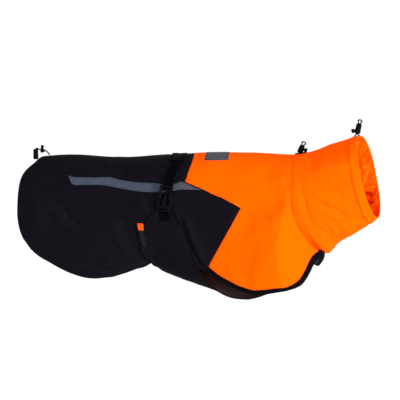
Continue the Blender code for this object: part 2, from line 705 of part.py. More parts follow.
def make_cords(group):
    make_tail_cord(group)
    start, end = (265.6, 0, 14.7), (270.9, 0, 26)
    cord = lock_cord(start, end, (254, 0, 7.4), (276, 0, 10.6), 8)
    make_lock("neck", start, end, (273.4, 0, 17.0), (279.2, 0, 14.4), cord, group)
    start, end = (376.5, 0, 51), (379.8, 0, 66)
    cord = lock_cord(start, end, (371.5, 0, 45.0), (381.5, 0, 46.3), 7)
    make_lock("rim", start, end, (370.9, 0, 54.6), (364.4, 0, 53.2), cord, group)


def main():
    clear_scene()
    coat = collection("dog_raincoat")
    cutters = collection("cutters", hidden=True)
    make_back_panel(coat)
    make_front_panel(coat)
    make_collar(coat)
    make_belly_panel(coat)
    make_stripes(coat)
    make_strap(coat)
    make_buckles(coat, cutters)
    make_wing_tabs(coat)
    make_label(coat)
    make_spine_patch(coat)
    make_throat_tab(coat)
    make_cords(coat)


if __name__ == "__main__":
    main()
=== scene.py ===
"""Dresses a dog raincoat in its worn form: cloth, folds, seams, tapes, webbing, buckles and cord locks.

Lengths are millimetres until a mesh is made. +X is to the head, +Z up, -Y the near side, and the
origin is on the underside of the back, on the spine, half way along it.
"""

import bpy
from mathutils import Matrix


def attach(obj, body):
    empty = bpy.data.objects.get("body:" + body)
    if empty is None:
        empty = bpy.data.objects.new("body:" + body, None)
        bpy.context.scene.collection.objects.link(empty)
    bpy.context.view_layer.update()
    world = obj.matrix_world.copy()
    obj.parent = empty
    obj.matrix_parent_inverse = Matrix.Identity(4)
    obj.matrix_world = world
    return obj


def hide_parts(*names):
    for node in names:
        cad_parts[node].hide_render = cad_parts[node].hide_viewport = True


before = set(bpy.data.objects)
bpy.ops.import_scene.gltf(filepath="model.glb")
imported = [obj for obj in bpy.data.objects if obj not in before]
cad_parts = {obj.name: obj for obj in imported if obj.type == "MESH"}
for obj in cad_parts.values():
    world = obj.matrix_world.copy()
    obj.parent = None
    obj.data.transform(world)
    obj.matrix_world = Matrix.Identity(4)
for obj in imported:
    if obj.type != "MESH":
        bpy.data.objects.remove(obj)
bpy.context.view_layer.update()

import logging
import math
from dataclasses import dataclass, field
from enum import Enum
from typing import ClassVar, Sequence

import bpy
import numpy as np
from mathutils import Vector

Array = np.ndarray
Rows = Sequence[Sequence[float]]
Pair = tuple[float, float]
Point = tuple[float, float, float]
Colour = tuple[float, float, float]
Faces = Sequence[Sequence[int]]
Piece = bpy.types.Object

MM = 0.001
# Pitches of the stitches in seams, along tapes and in bar tacks.
SEAM_STITCH, TAPE_STITCH, TACK_STITCH = 3.2, 2.8, 1.9
# Millimetres of girth to a radian, on average, so that x and girth angle have one scale.
FLAT_SCALE = np.array((1, 95.0))
# Moulded plastic: faces that meet at more than this have a sharp edge, and outlines have round corners.
SHARP, CORNER = math.radians(50), 1.2
LOG = logging.getLogger("dog_raincoat")


class Side(Enum):
    """A side of the coat, as the sign of its girth angle."""

    NEAR = 1
    FAR = -1

    @property
    def word(self) -> str:
        """The side's name in lower case."""
        return self.name.lower()


class Held(Enum):
    """How a sheet of cloth is held."""

    STRETCHED = "stretched"
    GATHERED = "gathered"
    HUNG = "hung"


class Way(Enum):
    """The cloth coordinate along which bands follow each other."""

    ACROSS = "X"
    DOWN = "Y"


class FarEnd(Enum):
    """What a cord ends in."""

    FITTING = "fitting"
    OBJECT = "object"


# ---------------------------------------------------------------- shapes


def smooth_step(t: Array | float) -> Array:
    """3t^2 - 2t^3, held at 0 before 0 and at 1 after 1."""
    t = np.clip(t, 0, 1)
    return t * t * (3 - 2 * t)


def bell(away: Array, width: Array | float) -> Array:
    """exp(-(away / width)^2)."""
    return np.exp(-((away / width) ** 2))


def spline(at: Array | float, xs: Array, ys: Array) -> Array:
    """Reads a smooth curve through a table: a cubic between rows, level where the table turns.

    Args:
        at: Where to read it.
        xs: Rising places of the rows.
        ys: Values of the rows.

    Returns:
        The values at those places.
    """
    xs, ys, at = np.asarray(xs, float), np.asarray(ys, float), np.asarray(at, float)
    steps = np.diff(xs)
    rises = np.diff(ys) / steps
    slope = np.concatenate([rises[:1], (rises[1:] + rises[:-1]) / 2, rises[-1:]])
    slope[np.concatenate([[False], rises[1:] * rises[:-1] <= 0, [False]])] = 0
    i = np.clip(np.searchsorted(xs, at) - 1, 0, len(steps) - 1)
    h = steps[i]
    t = np.clip((at - xs[i]) / h, 0, 1)
    left = (1 + 2 * t) * (1 - t) ** 2 * ys[i] + t * (1 - t) ** 2 * h * slope[i]
    return left + t * t * (3 - 2 * t) * ys[i + 1] + t * t * (t - 1) * h * slope[i + 1]


def travel(rows: Rows, at: Array, scale: Array | float = 1.0) -> Array:
    """Points at shares of the length of a smooth line through rows.

    Args:
        rows: The line's points.
        at: Shares of its length.
        scale: What each column is multiplied by before lengths are taken.

    Returns:
        One row for each share.
    """
    rows = np.asarray(rows, float) * scale
    along = arcs(rows, 0)
    at = np.asarray(at, float) * along[-1]
    return np.stack([spline(at, along, rows[:, k]) for k in range(rows.shape[1])], axis=-1) / scale


def unit(v: Array) -> Array:
    """v over its length."""
    return v / np.maximum(np.linalg.norm(v, axis=-1, keepdims=True), 1e-9)


def circle(count: int) -> Array:
    """Angles of even steps round a circle."""
    return np.linspace(0, 2 * math.pi, count, endpoint=False)


def arcs(points: Array, axis: int) -> Array:
    """Length run along an axis of a grid or a line.

    Args:
        points: The grid or the line.
        axis: Which index is counted up.

    Returns:
        The length at each point, 0 in the first row or column.
    """
    steps = np.linalg.norm(np.diff(points, axis=axis), axis=-1)
    first = np.zeros_like(steps.take([0], axis=axis))
    return np.concatenate([first, np.cumsum(steps, axis=axis)], axis=axis)


def coons(along0: Array, along1: Array, across0: Array, across1: Array) -> Array:
    """A patch between four edges: both rulings added, and the bilinear patch of the corners taken off.

    Args:
        along0: The edge along the first index, at the start of the second.
        along1: The edge along the first index, at its end.
        across0: The edge along the second index, at the start of the first.
        across1: The edge along the second index, at its end.

    Returns:
        The grid of points.
    """
    u = np.linspace(0, 1, len(along0))[:, None, None]
    v = np.linspace(0, 1, len(across0))[None, :, None]
    ruled = (1 - v) * along0[:, None] + v * along1[:, None]
    ruled = ruled + (1 - u) * across0[None] + u * across1[None]
    corners = (1 - u) * (1 - v) * along0[0] + u * (1 - v) * along0[-1]
    return ruled - corners - (1 - u) * v * along1[0] - u * v * along1[-1]


def normals(points: Array, closed: bool = False, flip: bool = False) -> Array:
    """Unit normals of a grid: the cross product of its steps along the second and first index.

    Args:
        points: The grid.
        closed: Whether the second index goes round.
        flip: Whether they point the other way.

    Returns:
        A normal for each point.
    """
    grid = np.concatenate([points[:, -1:], points, points[:, :1]], axis=1) if closed else points
    found = unit(np.cross(np.gradient(grid, axis=1), np.gradient(grid, axis=0))) * (-1 if flip else 1)
    return found[:, 1:-1] if closed else found


def recut(points: Array, start: Array | float, end: Array | float, count: int) -> Array:
    """Each line of a grid read again between two shares of its length, in even steps.

    Args:
        points: The grid, read along its second index.
        start: The first share, one number or one for each line.
        end: The last share.
        count: Points on each new line.

    Returns:
        The new grid.
    """
    length = arcs(points, 1)
    length = length / length[:, -1:]
    share = np.linspace(0, 1, count)[None]
    start, end = (np.broadcast_to(np.reshape(v, (-1, 1)), (len(points), 1)) for v in (start, end))
    at = start + (end - start) * share
    i = np.clip((length[:, None, :] < at[:, :, None]).sum(2) - 1, 0, points.shape[1] - 2)
    row = np.arange(len(points))[:, None]
    low, high = length[row, i], length[row, i + 1]
    t = ((at - low) / np.maximum(high - low, 1e-9))[..., None]
    return points[row, i] * (1 - t) + points[row, i + 1] * t


def relax(points: Array, rounds: int) -> Array:
    """Evens out kinks while keeping the bulk: each round goes half way to the mean of four, then back.

    Args:
        points: The grid, whose edges stay.
        rounds: How often.

    Returns:
        The evened grid.
    """
    points = points.copy()
    for weight in (0.5, -0.515) * rounds:
        mean = (points[:-2, 1:-1] + points[2:, 1:-1] + points[1:-1, :-2] + points[1:-1, 2:]) / 4
        points[1:-1, 1:-1] += weight * (mean - points[1:-1, 1:-1])
    return points


def mirrored(half: Array) -> Array:
    """A near half whose second index starts on the spine, with its far half put before it."""
    turn = np.array((1, -1, 1)[: half.shape[-1]])
    return np.concatenate([half[:, :0:-1] * turn, half], axis=1)


def ripple(x: Array, y: Array, size: float, seed: float) -> Array:
    """Soft unevenness of about -1 to 1: five sine waves whose ways and lengths differ.

    Args:
        x: First coordinate.
        y: Second coordinate.
        size: Mean wave length.
        seed: Moves the waves.

    Returns:
        The height.
    """
    total = np.zeros(np.broadcast(x, y).shape)
    for k in range(5):
        way = seed * 1.7 + k * 2.399
        length = size * (0.62 + 0.19 * k)
        run = (x * math.cos(way) + y * math.sin(way)) / length
        total = total + np.sin(2 * math.pi * run + seed * (3 + k) + 1.3 * np.sin(2.1 * run + k))
    return total / 3.2


def pucker(run: Array, away: Array, depth: float, seed: float, reach: float = 6.0) -> Array:
    """Gathers beside a seam: uneven waves along it that die out away from it.

    Args:
        run: Length along the seam.
        away: Distance from it.
        depth: Height of the waves.
        seed: Moves them.
        reach: Where they have nearly died out.

    Returns:
        The height.
    """
    wave = np.sin(2 * math.pi * (run / 9.0 + 0.9 * np.sin(run / 37 + seed) + 0.35 * np.sin(run / 11 + seed)))
    strength = 0.5 + 0.5 * np.sin(run / 53 + 2.6 * seed) * np.sin(run / 29 + seed)
    return depth * wave * strength * np.exp(-away / reach)


@dataclass(frozen=True)
class Crease:
    """A soft fold in side view, higher where its height is above 0 and a trough where it is below."""

    start: Pair
    end: Pair
    bow: float
    width: float
    near: float
    far: float
    edge: float = 0.35
    lean: float = 1.0

    def height(self, x: Array, z: Array, side: Array) -> Array:
        """The crest is a parabola that stands off the chord by bow; across it is a bell with a dip beside it.

        A lopsided one is a tent, exp(-(away / wide)^1.15), that grows wider along its way: lean times
        as wide on the left, half of that on the right.

        Args:
            x: Place along the coat.
            z: Height.
            side: 1 on the near side, -1 on the far side.

        Returns:
            How far the cloth stands out.
        """
        run = np.subtract(self.end, self.start)
        length = float(np.hypot(*run))
        dx, dz = x - self.start[0], z - self.start[1]
        t = (dx * run[0] + dz * run[1]) / length**2
        crest = 4 * self.bow * np.clip(t, 0, 1) * (1 - np.clip(t, 0, 1))
        away = (dx * run[1] - dz * run[0]) / length - crest
        ends = smooth_step((t + 0.12) / 0.3) * smooth_step((1.12 - t) / 0.4)
        wide = self.width * (0.75 + 0.4 * np.clip(t, 0, 1))
        spread = 1 + (np.where(away > 0, self.lean, self.lean / 2) - 1) * np.clip(t, 0, 1)
        tent = np.exp(-(((np.hypot(away, 3) - 3) / wide / spread) ** 1.15))
        shape = tent if self.lean > 1 else bell(away, wide)
        shape = shape - self.edge * bell(away - 1.7 * wide, wide)
        return np.where(side > 0, self.near, self.far) * shape * ends


def creases(*rows: Sequence[float]) -> tuple[Crease, ...]:
    """Creases from rows: x and z of the start and the end, then the other values in turn."""
    return tuple(Crease(row[:2], row[2:4], *row[4:]) for row in rows)


@dataclass(frozen=True)
class WornForm:
    """The body that the coat is cut for: superellipse sections along X, and the folds that cross it."""

    # Station, spine height, belly height, half width, squareness of the section.
    stations: Rows = (
        (-300, -17, -335, 78, 2.2), (-250, -5, -335, 83, 2.2), (-187, -0.5, -338, 86, 2.2),
        (-106, -4.6, -318, 87, 2.2), (-80, -4.5, -290, 87, 2.2), (-55, -3, -257, 87, 2.2),
        (-38, -1.5, -236, 87, 2.2), (-20, 0, -226, 87, 2.2), (2, 1.4, -234, 88, 2.2),
        (24, 1.0, -243, 89, 2.2), (40, 3.4, -249, 90, 2.2), (96, 6.2, -265, 93, 2.2),
        (165, 7, -274, 94, 2.2), (250, 3, -272, 86, 2.2),
    )
    large: Sequence[Crease] = creases(
        (242, -76, 247, -285, 26.4, 26, 18.0, 14.0, 0, 3.0), (206, -138, 140, -226, -4, 20, -2.0, -1.6, 0),
        (150, -60, 128, -190, 0, 26, 1.6, 2.2, 0), (186, -116, 180, -150, 0, 12, 1.6, 1.2, 0),
        (-175, -222, -96, -238, 0, 8, -3.2, -2.4, 0), (-112, -150, -66, -222, 0, 15, -3.4, -3.8, 0),
        (-250, -90, -262, -160, 0, 22, 2.8, 2.4, 0), (-200, -60, -120, -80, 0, 24, 1.8, 2.2, 0),
    )
    small: Sequence[Crease] = creases(
        (-226, -84, -186, -118, -5, 8, -3.0, -1.6), (-192, -110, -150, -140, 4, 7, -2.4, -2.6),
        (-90, 0, -116, -26, 3, 7, 2.4, 2.0), (-76, -4, -92, -34, -3, 6, -1.8, -1.3),
        (-80, -116, -56, -178, 6, 12, -3.8, -3.0, 0.0), (-104, -126, -58, -118, 3, 6, -1.8, -2.1),
        (-166, -208, -92, -226, -3, 6, -3.4, -2.8), (-118, -216, -84, -222, 2, 4, 1.6, 1.2),
        (-214, -150, -120, -190, 9, 13, 1.8, 2.3), (-246, -60, -228, -150, -8, 11, -1.8, -2.2),
        (-160, -66, -70, -92, 8, 12, 1.3, 1.6), (-40, -70, -12, -104, 3, 6, -1.9, -1.6),
        (22, -66, 60, -78, -3, 6, 1.5, 1.8), (34, -108, 84, -230, 4, 4.5, -4.4, -3.8, 0),
        (46, -110, 98, -226, 4, 8, 2.6, 2.2, 0), (104, -186, 128, -181, 2, 3.4, -2.6, -1.6),
        (176, -98, 210, -114, -4, 6, -1.2, -0.5), (163, -40, 233, -8, 5, 12, -1.4, -1.2),
        (140, -30, 200, -50, -7, 12, 1.5, 1.8), (176, 2, 246, -8, 3, 6, -2.6, -2.0),
        (232, -40, 250, -60, -3, 5, -1.6, -1.5), (256, -96, 250, -150, -6, 7, -1.6, -1.5),
        (250, -170, 268, -216, -3, 8, 1.6, 1.9), (128, -204, 160, -238, 4, 10, 1.4, 1.6),
    )

    def sizes(self, x: Array) -> list[Array]:
        """Spine height, belly height, half width and squareness at x."""
        table = np.array(self.stations, float)
        return [spline(x, table[:, 0], table[:, k]) for k in range(1, 5)]

    def relief(self, x: Array, z: Array, side: Array) -> Array:
        """All folds and two soft ripples at a place in side view, faded out towards the spine.

        Args:
            x: Place along the coat.
            z: Height.
            side: Positive on the near side, negative on the far side.

        Returns:
            How far the cloth stands out.
        """
        total = sum(crease.height(x, z, side) for crease in (*self.large, *self.small))
        total = total + 0.45 * ripple(x, z, 64, 1.3) + 0.16 * ripple(x, z, 23, 4.1)
        return total * smooth_step(np.abs(side) * 3)

    def point(self, x: Array, angle: Array, out: Array | float = 0.0) -> Array:
        """Points of the section |y/half|^n + |z/tall|^n = 1 at a girth angle, moved out along its normal.

        Args:
            x: Place along the coat.
            angle: 0 on the spine, positive to the near side.
            out: How far outside the form, to which the folds are added.

        Returns:
            The points.
        """
        top, bottom, half, square = self.sizes(x)
        middle, tall = (top + bottom) / 2, (top - bottom) / 2
        c, s = np.cos(angle), np.sin(angle)
        z = middle + tall * np.sign(c) * np.abs(c) ** (2 / square)
        y = -half * np.sign(s) * np.abs(s) ** (2 / square)
        to_y = -np.sign(s) * np.abs(s) ** (2 - 2 / square) / half
        to_z = np.sign(c) * np.abs(c) ** (2 - 2 / square) / tall
        out = (out + self.relief(x, z, s)) / np.hypot(to_y, to_z)
        return np.stack(np.broadcast_arrays(x, y + out * to_y, z + out * to_z), axis=-1)

    def angle(self, x: Array, z: Array) -> Array:
        """The girth angle at which the outside at x is at height z, solved from the section's formula.

        Args:
            x: Place along the coat.
            z: Height.

        Returns:
            The angle, on the near side.
        """
        top, bottom, _, square = self.sizes(x)
        rise = np.clip((np.asarray(z, float) - (top + bottom) / 2) / ((top - bottom) / 2), -1, 1)
        return np.arccos(np.sign(rise) * np.abs(rise) ** (square / 2))

    def on_form(self, rows: Rows) -> Array:
        """Side view rows of x, z as x and girth angle."""
        rows = np.asarray(rows, float)
        return np.stack([rows[:, 0], self.angle(rows[:, 0], rows[:, 1])], axis=-1)


FORM = WornForm()


# ---------------------------------------------------------------- materials


class Wire:
    """A value in a material's node tree. Arithmetic on it adds Math nodes."""

    def __init__(self, tree: "NodeTree", socket: bpy.types.NodeSocket) -> None:
        """Holds an output socket and the tree that it is in."""
        self.tree = tree
        self.socket = socket

    def math(self, operation: str, *others: "Wire | float", turned: bool = False) -> "Wire":
        """Adds a Math node on this value and others, which come first if turned."""
        ends = [*others, self] if turned else [self, *others]
        return self.tree.node("ShaderNodeMath", {"operation": operation}, dict(enumerate(ends)))

    def __add__(self, other: "Wire | float") -> "Wire":
        """self + other."""
        return self.math("ADD", other)

    def __sub__(self, other: "Wire | float") -> "Wire":
        """self - other."""
        return self.math("SUBTRACT", other)

    def __rsub__(self, other: float) -> "Wire":
        """other - self."""
        return self.math("SUBTRACT", other, turned=True)

    def __mul__(self, other: "Wire | float") -> "Wire":
        """self * other."""
        return self.math("MULTIPLY", other)

    __radd__, __rmul__ = __add__, __mul__

    def between(self, low: float, high: float) -> "Wire":
        """0 at low and 1 at high, smooth between them."""
        kind = {"interpolation_type": "SMOOTHSTEP", "clamp": True}
        return self.tree.node("ShaderNodeMapRange", kind, {"Value": self, "From Min": low, "From Max": high})


class NodeTree:
    """A material and what is added to its nodes."""

    def __init__(self, name: str) -> None:
        """Makes the material with its Principled shader.

        Args:
            name: The material's name.
        """
        self.material = bpy.data.materials.new(name)
        self.material.use_nodes = True
        self.nodes = self.material.node_tree.nodes
        self.shader = self.nodes["Principled BSDF"]

    def node(self, kind: str, settings: dict | None = None, values: dict | None = None,
             out: int | str = 0) -> Wire:
        """Adds a node.

        Args:
            kind: Its type.
            settings: Its own settings.
            values: Values or wires of its sockets, by name or number.
            out: Which output is wanted.

        Returns:
            That output.
        """
        made = self.nodes.new(kind)
        for key, value in (settings or {}).items():
            setattr(made, key, value)
        for key, value in (values or {}).items():
            self.put(made.inputs[key], value)
        return Wire(self, made.outputs[out])

    def put(self, socket: bpy.types.NodeSocket, value: "Wire | float | Colour") -> None:
        """Links a wire to a socket, or sets its value.

        Args:
            socket: The input.
            value: A wire, a number, or a colour, which gets its fourth number where it needs one.
        """
        if isinstance(value, Wire):
            self.material.node_tree.links.new(value.socket, socket)
        elif isinstance(value, tuple) and len(value) == 3 and len(socket.default_value) == 4:
            socket.default_value = (*value, 1)
        else:
            socket.default_value = value

    def cloth(self, scale: Pair = (1, 1), turn: float = 0.0) -> Wire:
        """The piece's own cloth coordinates, in metres along its threads.

        Args:
            scale: What both are multiplied by.
            turn: How far they are turned, in radians.

        Returns:
            The coordinates.
        """
        uv = self.node("ShaderNodeUVMap", {"uv_map": "cloth"})
        values = {"Vector": uv, "Scale": (*scale, 1), "Rotation": (0, 0, turn)}
        return self.node("ShaderNodeMapping", None, values)

    def place(self) -> Wire:
        """Object coordinates, in metres."""
        return self.node("ShaderNodeTexCoord", None, None, "Object")

    def attribute(self, name: str) -> Wire:
        """A number that is kept at the piece's points."""
        return self.node("ShaderNodeAttribute", {"attribute_name": name}, None, "Fac")

    def noise(self, where: Wire, size: float, detail: float = 3.0, rough: float = 0.55) -> Wire:
        """Noise from 0 to 1.

        Args:
            where: Coordinates.
            size: Size of its blotches in metres.
            detail: How many finer layers it has.
            rough: How strong they are.

        Returns:
            The number.
        """
        values = {"Vector": where, "Scale": 1 / size, "Detail": detail, "Roughness": rough}
        return self.node("ShaderNodeTexNoise", None, values, "Fac")

    def waves(self, where: Wire, pitch: float, way: Way = Way.ACROSS, bend: float = 0.0) -> Wire:
        """Sine bands from 0 to 1.

        Args:
            where: Coordinates.
            pitch: From one band to the next, in metres.
            way: The coordinate along which they follow each other.
            bend: How much noise bends them.

        Returns:
            The number.
        """
        values = {"Vector": where, "Scale": 2 * math.pi / 20 / pitch, "Distortion": bend, "Detail": 1.0}
        return self.node("ShaderNodeTexWave", {"bands_direction": way.value}, values, "Fac")

    def mix(self, share: Wire, a: "Wire | Colour", b: "Wire | Colour") -> Wire:
        """A colour between a and b."""
        colours = {0: share, 6: a, 7: b}
        return self.node("ShaderNodeMix", {"data_type": "RGBA", "clamp_factor": True}, colours, 2)

    def weave(self, pitch: float) -> Wire:
        """A plain weave from 0 to 1: the product of bands along both threads, each side of a half."""
        across = self.waves(self.cloth(), pitch) - 0.5
        return across * (self.waves(self.cloth(), pitch, Way.DOWN) - 0.5) * 2 + 0.5

    def bump(self, height: Wire, depth: float, under: Wire | None = None) -> Wire:
        """Tilts the surface as a relief of height times depth would.

        Args:
            height: A number from 0 to 1.
            depth: What 1 stands for, in metres.
            under: A coarser normal that this one adds to.

        Returns:
            The normal.
        """
        values = {"Height": height, "Distance": depth, "Strength": 1.0}
        if under:
            values["Normal"] = under
        return self.node("ShaderNodeBump", None, values)

    def finish(self, **values: "Wire | float | Colour") -> bpy.types.Material:
        """Sets the shader's sockets.

        Args:
            values: Wires or values, named as the sockets are, with _ for a space.

        Returns:
            The material.
        """
        for key, value in values.items():
            self.put(self.shader.inputs[key.replace("_", " ")], value)
        return self.material


# Colour, what is added to the roughness, and normal.
Painted = tuple[Wire, Wire, Wire]


@dataclass(frozen=True)
class Finish:
    """What one kind of surface looks like."""

    name: str
    slot: str
    colour: Colour
    light: Colour
    rough: float = 0.6
    gloss: float = 0.3
    metal: ClassVar[float] = 0.0

    def material(self) -> bpy.types.Material:
        """The material, made once.

        Returns:
            The material.
        """
        made = bpy.data.materials.get(self.name)
        if made is None:
            tree = NodeTree(self.name)
            colour, uneven, normal = self.paint(tree)
            made = tree.finish(Base_Color=colour, Roughness=uneven + self.rough, Metallic=self.metal,
                               Normal=normal, Specular_IOR_Level=self.gloss)
        return made

    def paint(self, tree: NodeTree) -> Painted:
        """What is painted into a node tree; each kind of finish has its own."""
        raise NotImplementedError(self.name)


@dataclass(frozen=True)
class CoatedCloth(Finish):
    """Tightly woven rainwear cloth with a dull coating, fine handling creases and worn crests."""

    pitch: float = 0.00055
    crumple: float = 0.00035

    def paint(self, tree: NodeTree) -> Painted:
        """Weave and crumple in the bump; colour between dark and light by blotches and by the folds' crests.

        Args:
            tree: The new material's nodes.

        Returns:
            Colour, uneven roughness and normal.
        """
        uv = tree.cloth()
        blotch = tree.noise(uv, 0.07, 4) * 0.6 + tree.noise(uv, 0.009, 2) * 0.4
        crest = tree.attribute("crest")
        threads = tree.weave(self.pitch)
        share = (blotch - 0.5) * 1.1 + crest * 0.5 + threads * 0.12 + 0.3
        creased = tree.noise(tree.cloth((1, 0.55), 0.6), 0.016, 5, 0.62)
        fine = tree.noise(uv, 0.0042, 3)
        normal = tree.bump(creased, self.crumple)
        normal = tree.bump(fine, self.crumple * 0.22, normal)
        normal = tree.bump(threads, 0.00003, normal)
        return tree.mix(share, self.colour, self.light), (blotch - 0.5) * 0.16, normal


@dataclass(frozen=True)
class LiningCloth(Finish):
    """Thin smooth lining that wrinkles sharply."""

    crumple: float = 0.0012

    def paint(self, tree: NodeTree) -> Painted:
        """Sharp wrinkles from folded noise, fine threads, and painted shade that darkens the hollows between
        them.

        Args:
            tree: The new material's nodes.

        Returns:
            Colour, uneven roughness and normal.
        """
        uv = tree.cloth((1, 0.6), 0.35)
        wrinkle = (tree.noise(uv, 0.022, 4, 0.6) - 0.5).math("ABSOLUTE") * 2.4
        # Painted shade: the wrinkles' hollows get the dark colour, their ridges the light one.
        painted_shading = wrinkle.between(0.02, 0.5)
        normal = tree.bump(wrinkle, self.crumple)
        normal = tree.bump(tree.weave(0.0004), 0.00002, normal)
        return tree.mix(painted_shading, self.colour, self.light), wrinkle * 0.2, normal


@dataclass(frozen=True)
class RibbedTape(Finish):
    """Narrow woven tape or webbing with ribs across it and firmer edges."""

    pitch: float = 0.0009
    twill: bool = False

    def paint(self, tree: NodeTree) -> Painted:
        """Ribs across the tape, threads along it, lighter where its edges rub and, on the throat loop, along
        a painted sheen.

        Args:
            tree: The new material's nodes.

        Returns:
            Colour, uneven roughness and normal.
        """
        bands = tree.waves(tree.cloth(turn=0.7 if self.twill else 0.0), self.pitch, Way.DOWN, 0.3)
        threads = tree.waves(tree.cloth(), self.pitch * 0.7)
        fuzz = tree.noise(tree.cloth(), 0.0013, 4)
        # Lighter where edges rub, and on the throat loop along its painted sheen.
        rub_and_sheen = tree.attribute("crest") * 0.8 + fuzz * 0.25 + bands * 0.15 - 0.12
        normal = tree.bump(bands * 0.7 + threads * 0.3, 0.00012)
        normal = tree.bump(fuzz, 0.00008, normal)
        return tree.mix(rub_and_sheen, self.colour, self.light), fuzz * 0.15, normal


@dataclass(frozen=True)
class BeadTape(Finish):
    """Grey reflective tape: a film of fine glass beads that cracks a little where it bends."""

    metal: ClassVar[float] = 0.15

    def paint(self, tree: NodeTree) -> Painted:
        """A painted reflection, bluish at the rear and warmer to the front, with beads, scuffs and fine
        cracks.

        Args:
            tree: The new material's nodes.

        Returns:
            Colour, uneven roughness and normal.
        """
        uv = tree.cloth()
        beads = tree.node("ShaderNodeTexVoronoi", {"feature": "F1"}, {"Vector": uv, "Scale": 1400.0})
        scuffs = tree.noise(tree.cloth((0.3, 1)), 0.006, 5, 0.65)
        cracks = tree.noise(tree.cloth((1, 0.25), 0.2), 0.005, 3).between(0.42, 0.5)
        # Painted reflection: the colour runs from the bluish end at the rear to the warmer end at the front.
        along = tree.node("ShaderNodeSeparateXYZ", None, {"Vector": tree.place()}, "X").between(-0.03, 0.075)
        colour = tree.mix(along, self.colour, self.light)
        colour = tree.mix(scuffs.between(0.52, 0.75) * 0.22, colour, (0.12, 0.13, 0.15))
        colour = tree.mix((1 - cracks) * 0.16, colour, (0.015, 0.017, 0.022))
        normal = tree.bump(tree.noise(uv, 0.012, 3), 0.0004)
        normal = tree.bump(beads, 0.00004, normal)
        return colour, scuffs * 0.25, normal


@dataclass(frozen=True)
class MouldedPlastic(Finish):
    """Hard moulded plastic with a fine grain, scuffs and a painted highlight along its edges."""

    def paint(self, tree: NodeTree) -> Painted:
        """Spark-eroded grain in the bump, scuffs in the roughness, and edges painted lighter as a highlight.

        Args:
            tree: The new material's nodes.

        Returns:
            Colour, uneven roughness and normal.
        """
        place = tree.place()
        grain = tree.noise(place, 0.0006, 2)
        scuff = tree.noise(place, 0.006, 5, 0.7)
        # Painted highlight: the edges get the light colour.
        edge = tree.attribute("crest")
        share = scuff.between(0.5, 0.8) * 0.35 + edge * 0.8
        return tree.mix(share, self.colour, self.light), scuff * 0.22, tree.bump(grain, 0.00003)


@dataclass(frozen=True)
class WovenRibbon(Finish):
    """A satin ribbon woven in two colours: an orange block at its head, a dark tail below."""

    split: float = 0.019

    def paint(self, tree: NodeTree) -> Painted:
        """Orange above the split and dark below it, with fine ribs and a raised edge.

        Args:
            tree: The new material's nodes.

        Returns:
            Colour, uneven roughness and normal.
        """
        uv = tree.cloth()
        down = tree.node("ShaderNodeSeparateXYZ", None, {"Vector": uv}, "Y")
        ribs = tree.waves(uv, 0.0005, Way.DOWN)
        threads = tree.noise(uv, 0.0008, 3)
        head = tree.mix(threads, self.colour, (0.95, 0.075, 0.004))
        tail = tree.mix(threads * 0.6 + ribs * 0.3, (0.004, 0.0036, 0.005), self.light)
        low = down.between(self.split, self.split + 0.0006)
        return tree.mix(low, head, tail), threads * 0.2, tree.bump(ribs + threads, 0.00005)


@dataclass(frozen=True)
class BraidedCord(Finish):
    """Braided elastic cord with light flecks woven in."""

    def paint(self, tree: NodeTree) -> Painted:
        """Two crossing sets of slanted bands; every few strands a light fleck.

        Args:
            tree: The new material's nodes.

        Returns:
            Colour, uneven roughness and normal.
        """
        one = tree.waves(tree.cloth(turn=0.75), 0.0011)
        two = tree.waves(tree.cloth(turn=-0.75), 0.0011)
        braid = one.math("MAXIMUM", two)
        fleck = one.between(0.72, 0.9) * tree.waves(tree.cloth(), 0.0058, Way.DOWN).between(0.45, 0.7)
        strands = tree.mix(braid, self.colour, (0.008, 0.008, 0.010))
        return tree.mix(fleck, strands, self.light), braid * 0.2, tree.bump(braid, 0.00018)


@dataclass(frozen=True)
class Thread(Finish):
    """Sewing thread, two plies twisted."""

    def paint(self, tree: NodeTree) -> Painted:
        """Fine slanted plies in colour and bump.

        Args:
            tree: The new material's nodes.

        Returns:
            Colour, uneven roughness and normal.
        """
        ply = tree.noise(tree.place(), 0.0005, 2)
        return tree.mix(ply, self.colour, self.light), ply * 0.2, tree.bump(ply, 0.00006)


BLACK_SHELL = CoatedCloth(
    "black_coated_cloth", "black_shell", (0.0025, 0.0022, 0.0035), (0.0052, 0.0043, 0.0070), 0.72, 0.016)
ORANGE_SHELL = CoatedCloth(
    "orange_coated_cloth", "orange_shell", (1.0, 0.074, 0.0), (1.0, 0.086, 0.0), 0.65, 0.003)
# Lighter orange than the shell's, as painted light for the inside of the coat, where less light falls.
ORANGE_FACING = LiningCloth(
    "orange_facing", "orange_lining", (0.90, 0.058, 0.0), (1.0, 0.165, 0.0), 0.5, 0.008, 0.0020)
# Dark red, a darker copy of the facing's orange: painted shade deep inside the collar.
LINING_PAINTED_SHADE = LiningCloth(
    "lining_painted_shade", "orange_lining", (0.40, 0.010, 0.001), (0.85, 0.052, 0.003), 0.5, 0.02, 0.0024)
BROWN_LINING = LiningCloth(
    "brown_lining", "black_shell", (0.032, 0.0125, 0.0125), (0.060, 0.0240, 0.0245), 0.6, 0.03, 0.0008)
BLACK_TAPE = RibbedTape(
    "black_grosgrain", "black_tape", (0.0011, 0.0010, 0.0015), (0.0042, 0.0038, 0.0054), 0.6, 0.016)
# Light grey at its light end, for the painted sheen along the throat loop's fold.
LOOP_TAPE = RibbedTape(
    "throat_loop_tape", "black_tape", (0.0006, 0.0006, 0.0008), (0.070, 0.070, 0.090), 0.6, 0.02)
WEBBING = RibbedTape(
    "black_webbing", "black_tape", (0.0006, 0.0005, 0.0009), (0.0030, 0.0027, 0.0042), 0.6, 0.012, 0.0016,
    True)
# Colour and light are the bluish and warmer ends of a painted reflection along the coat.
BEADS = BeadTape(
    "reflective_tape", "grey_reflective", (0.036, 0.048, 0.072), (0.050, 0.050, 0.061), 0.5, 0.1)
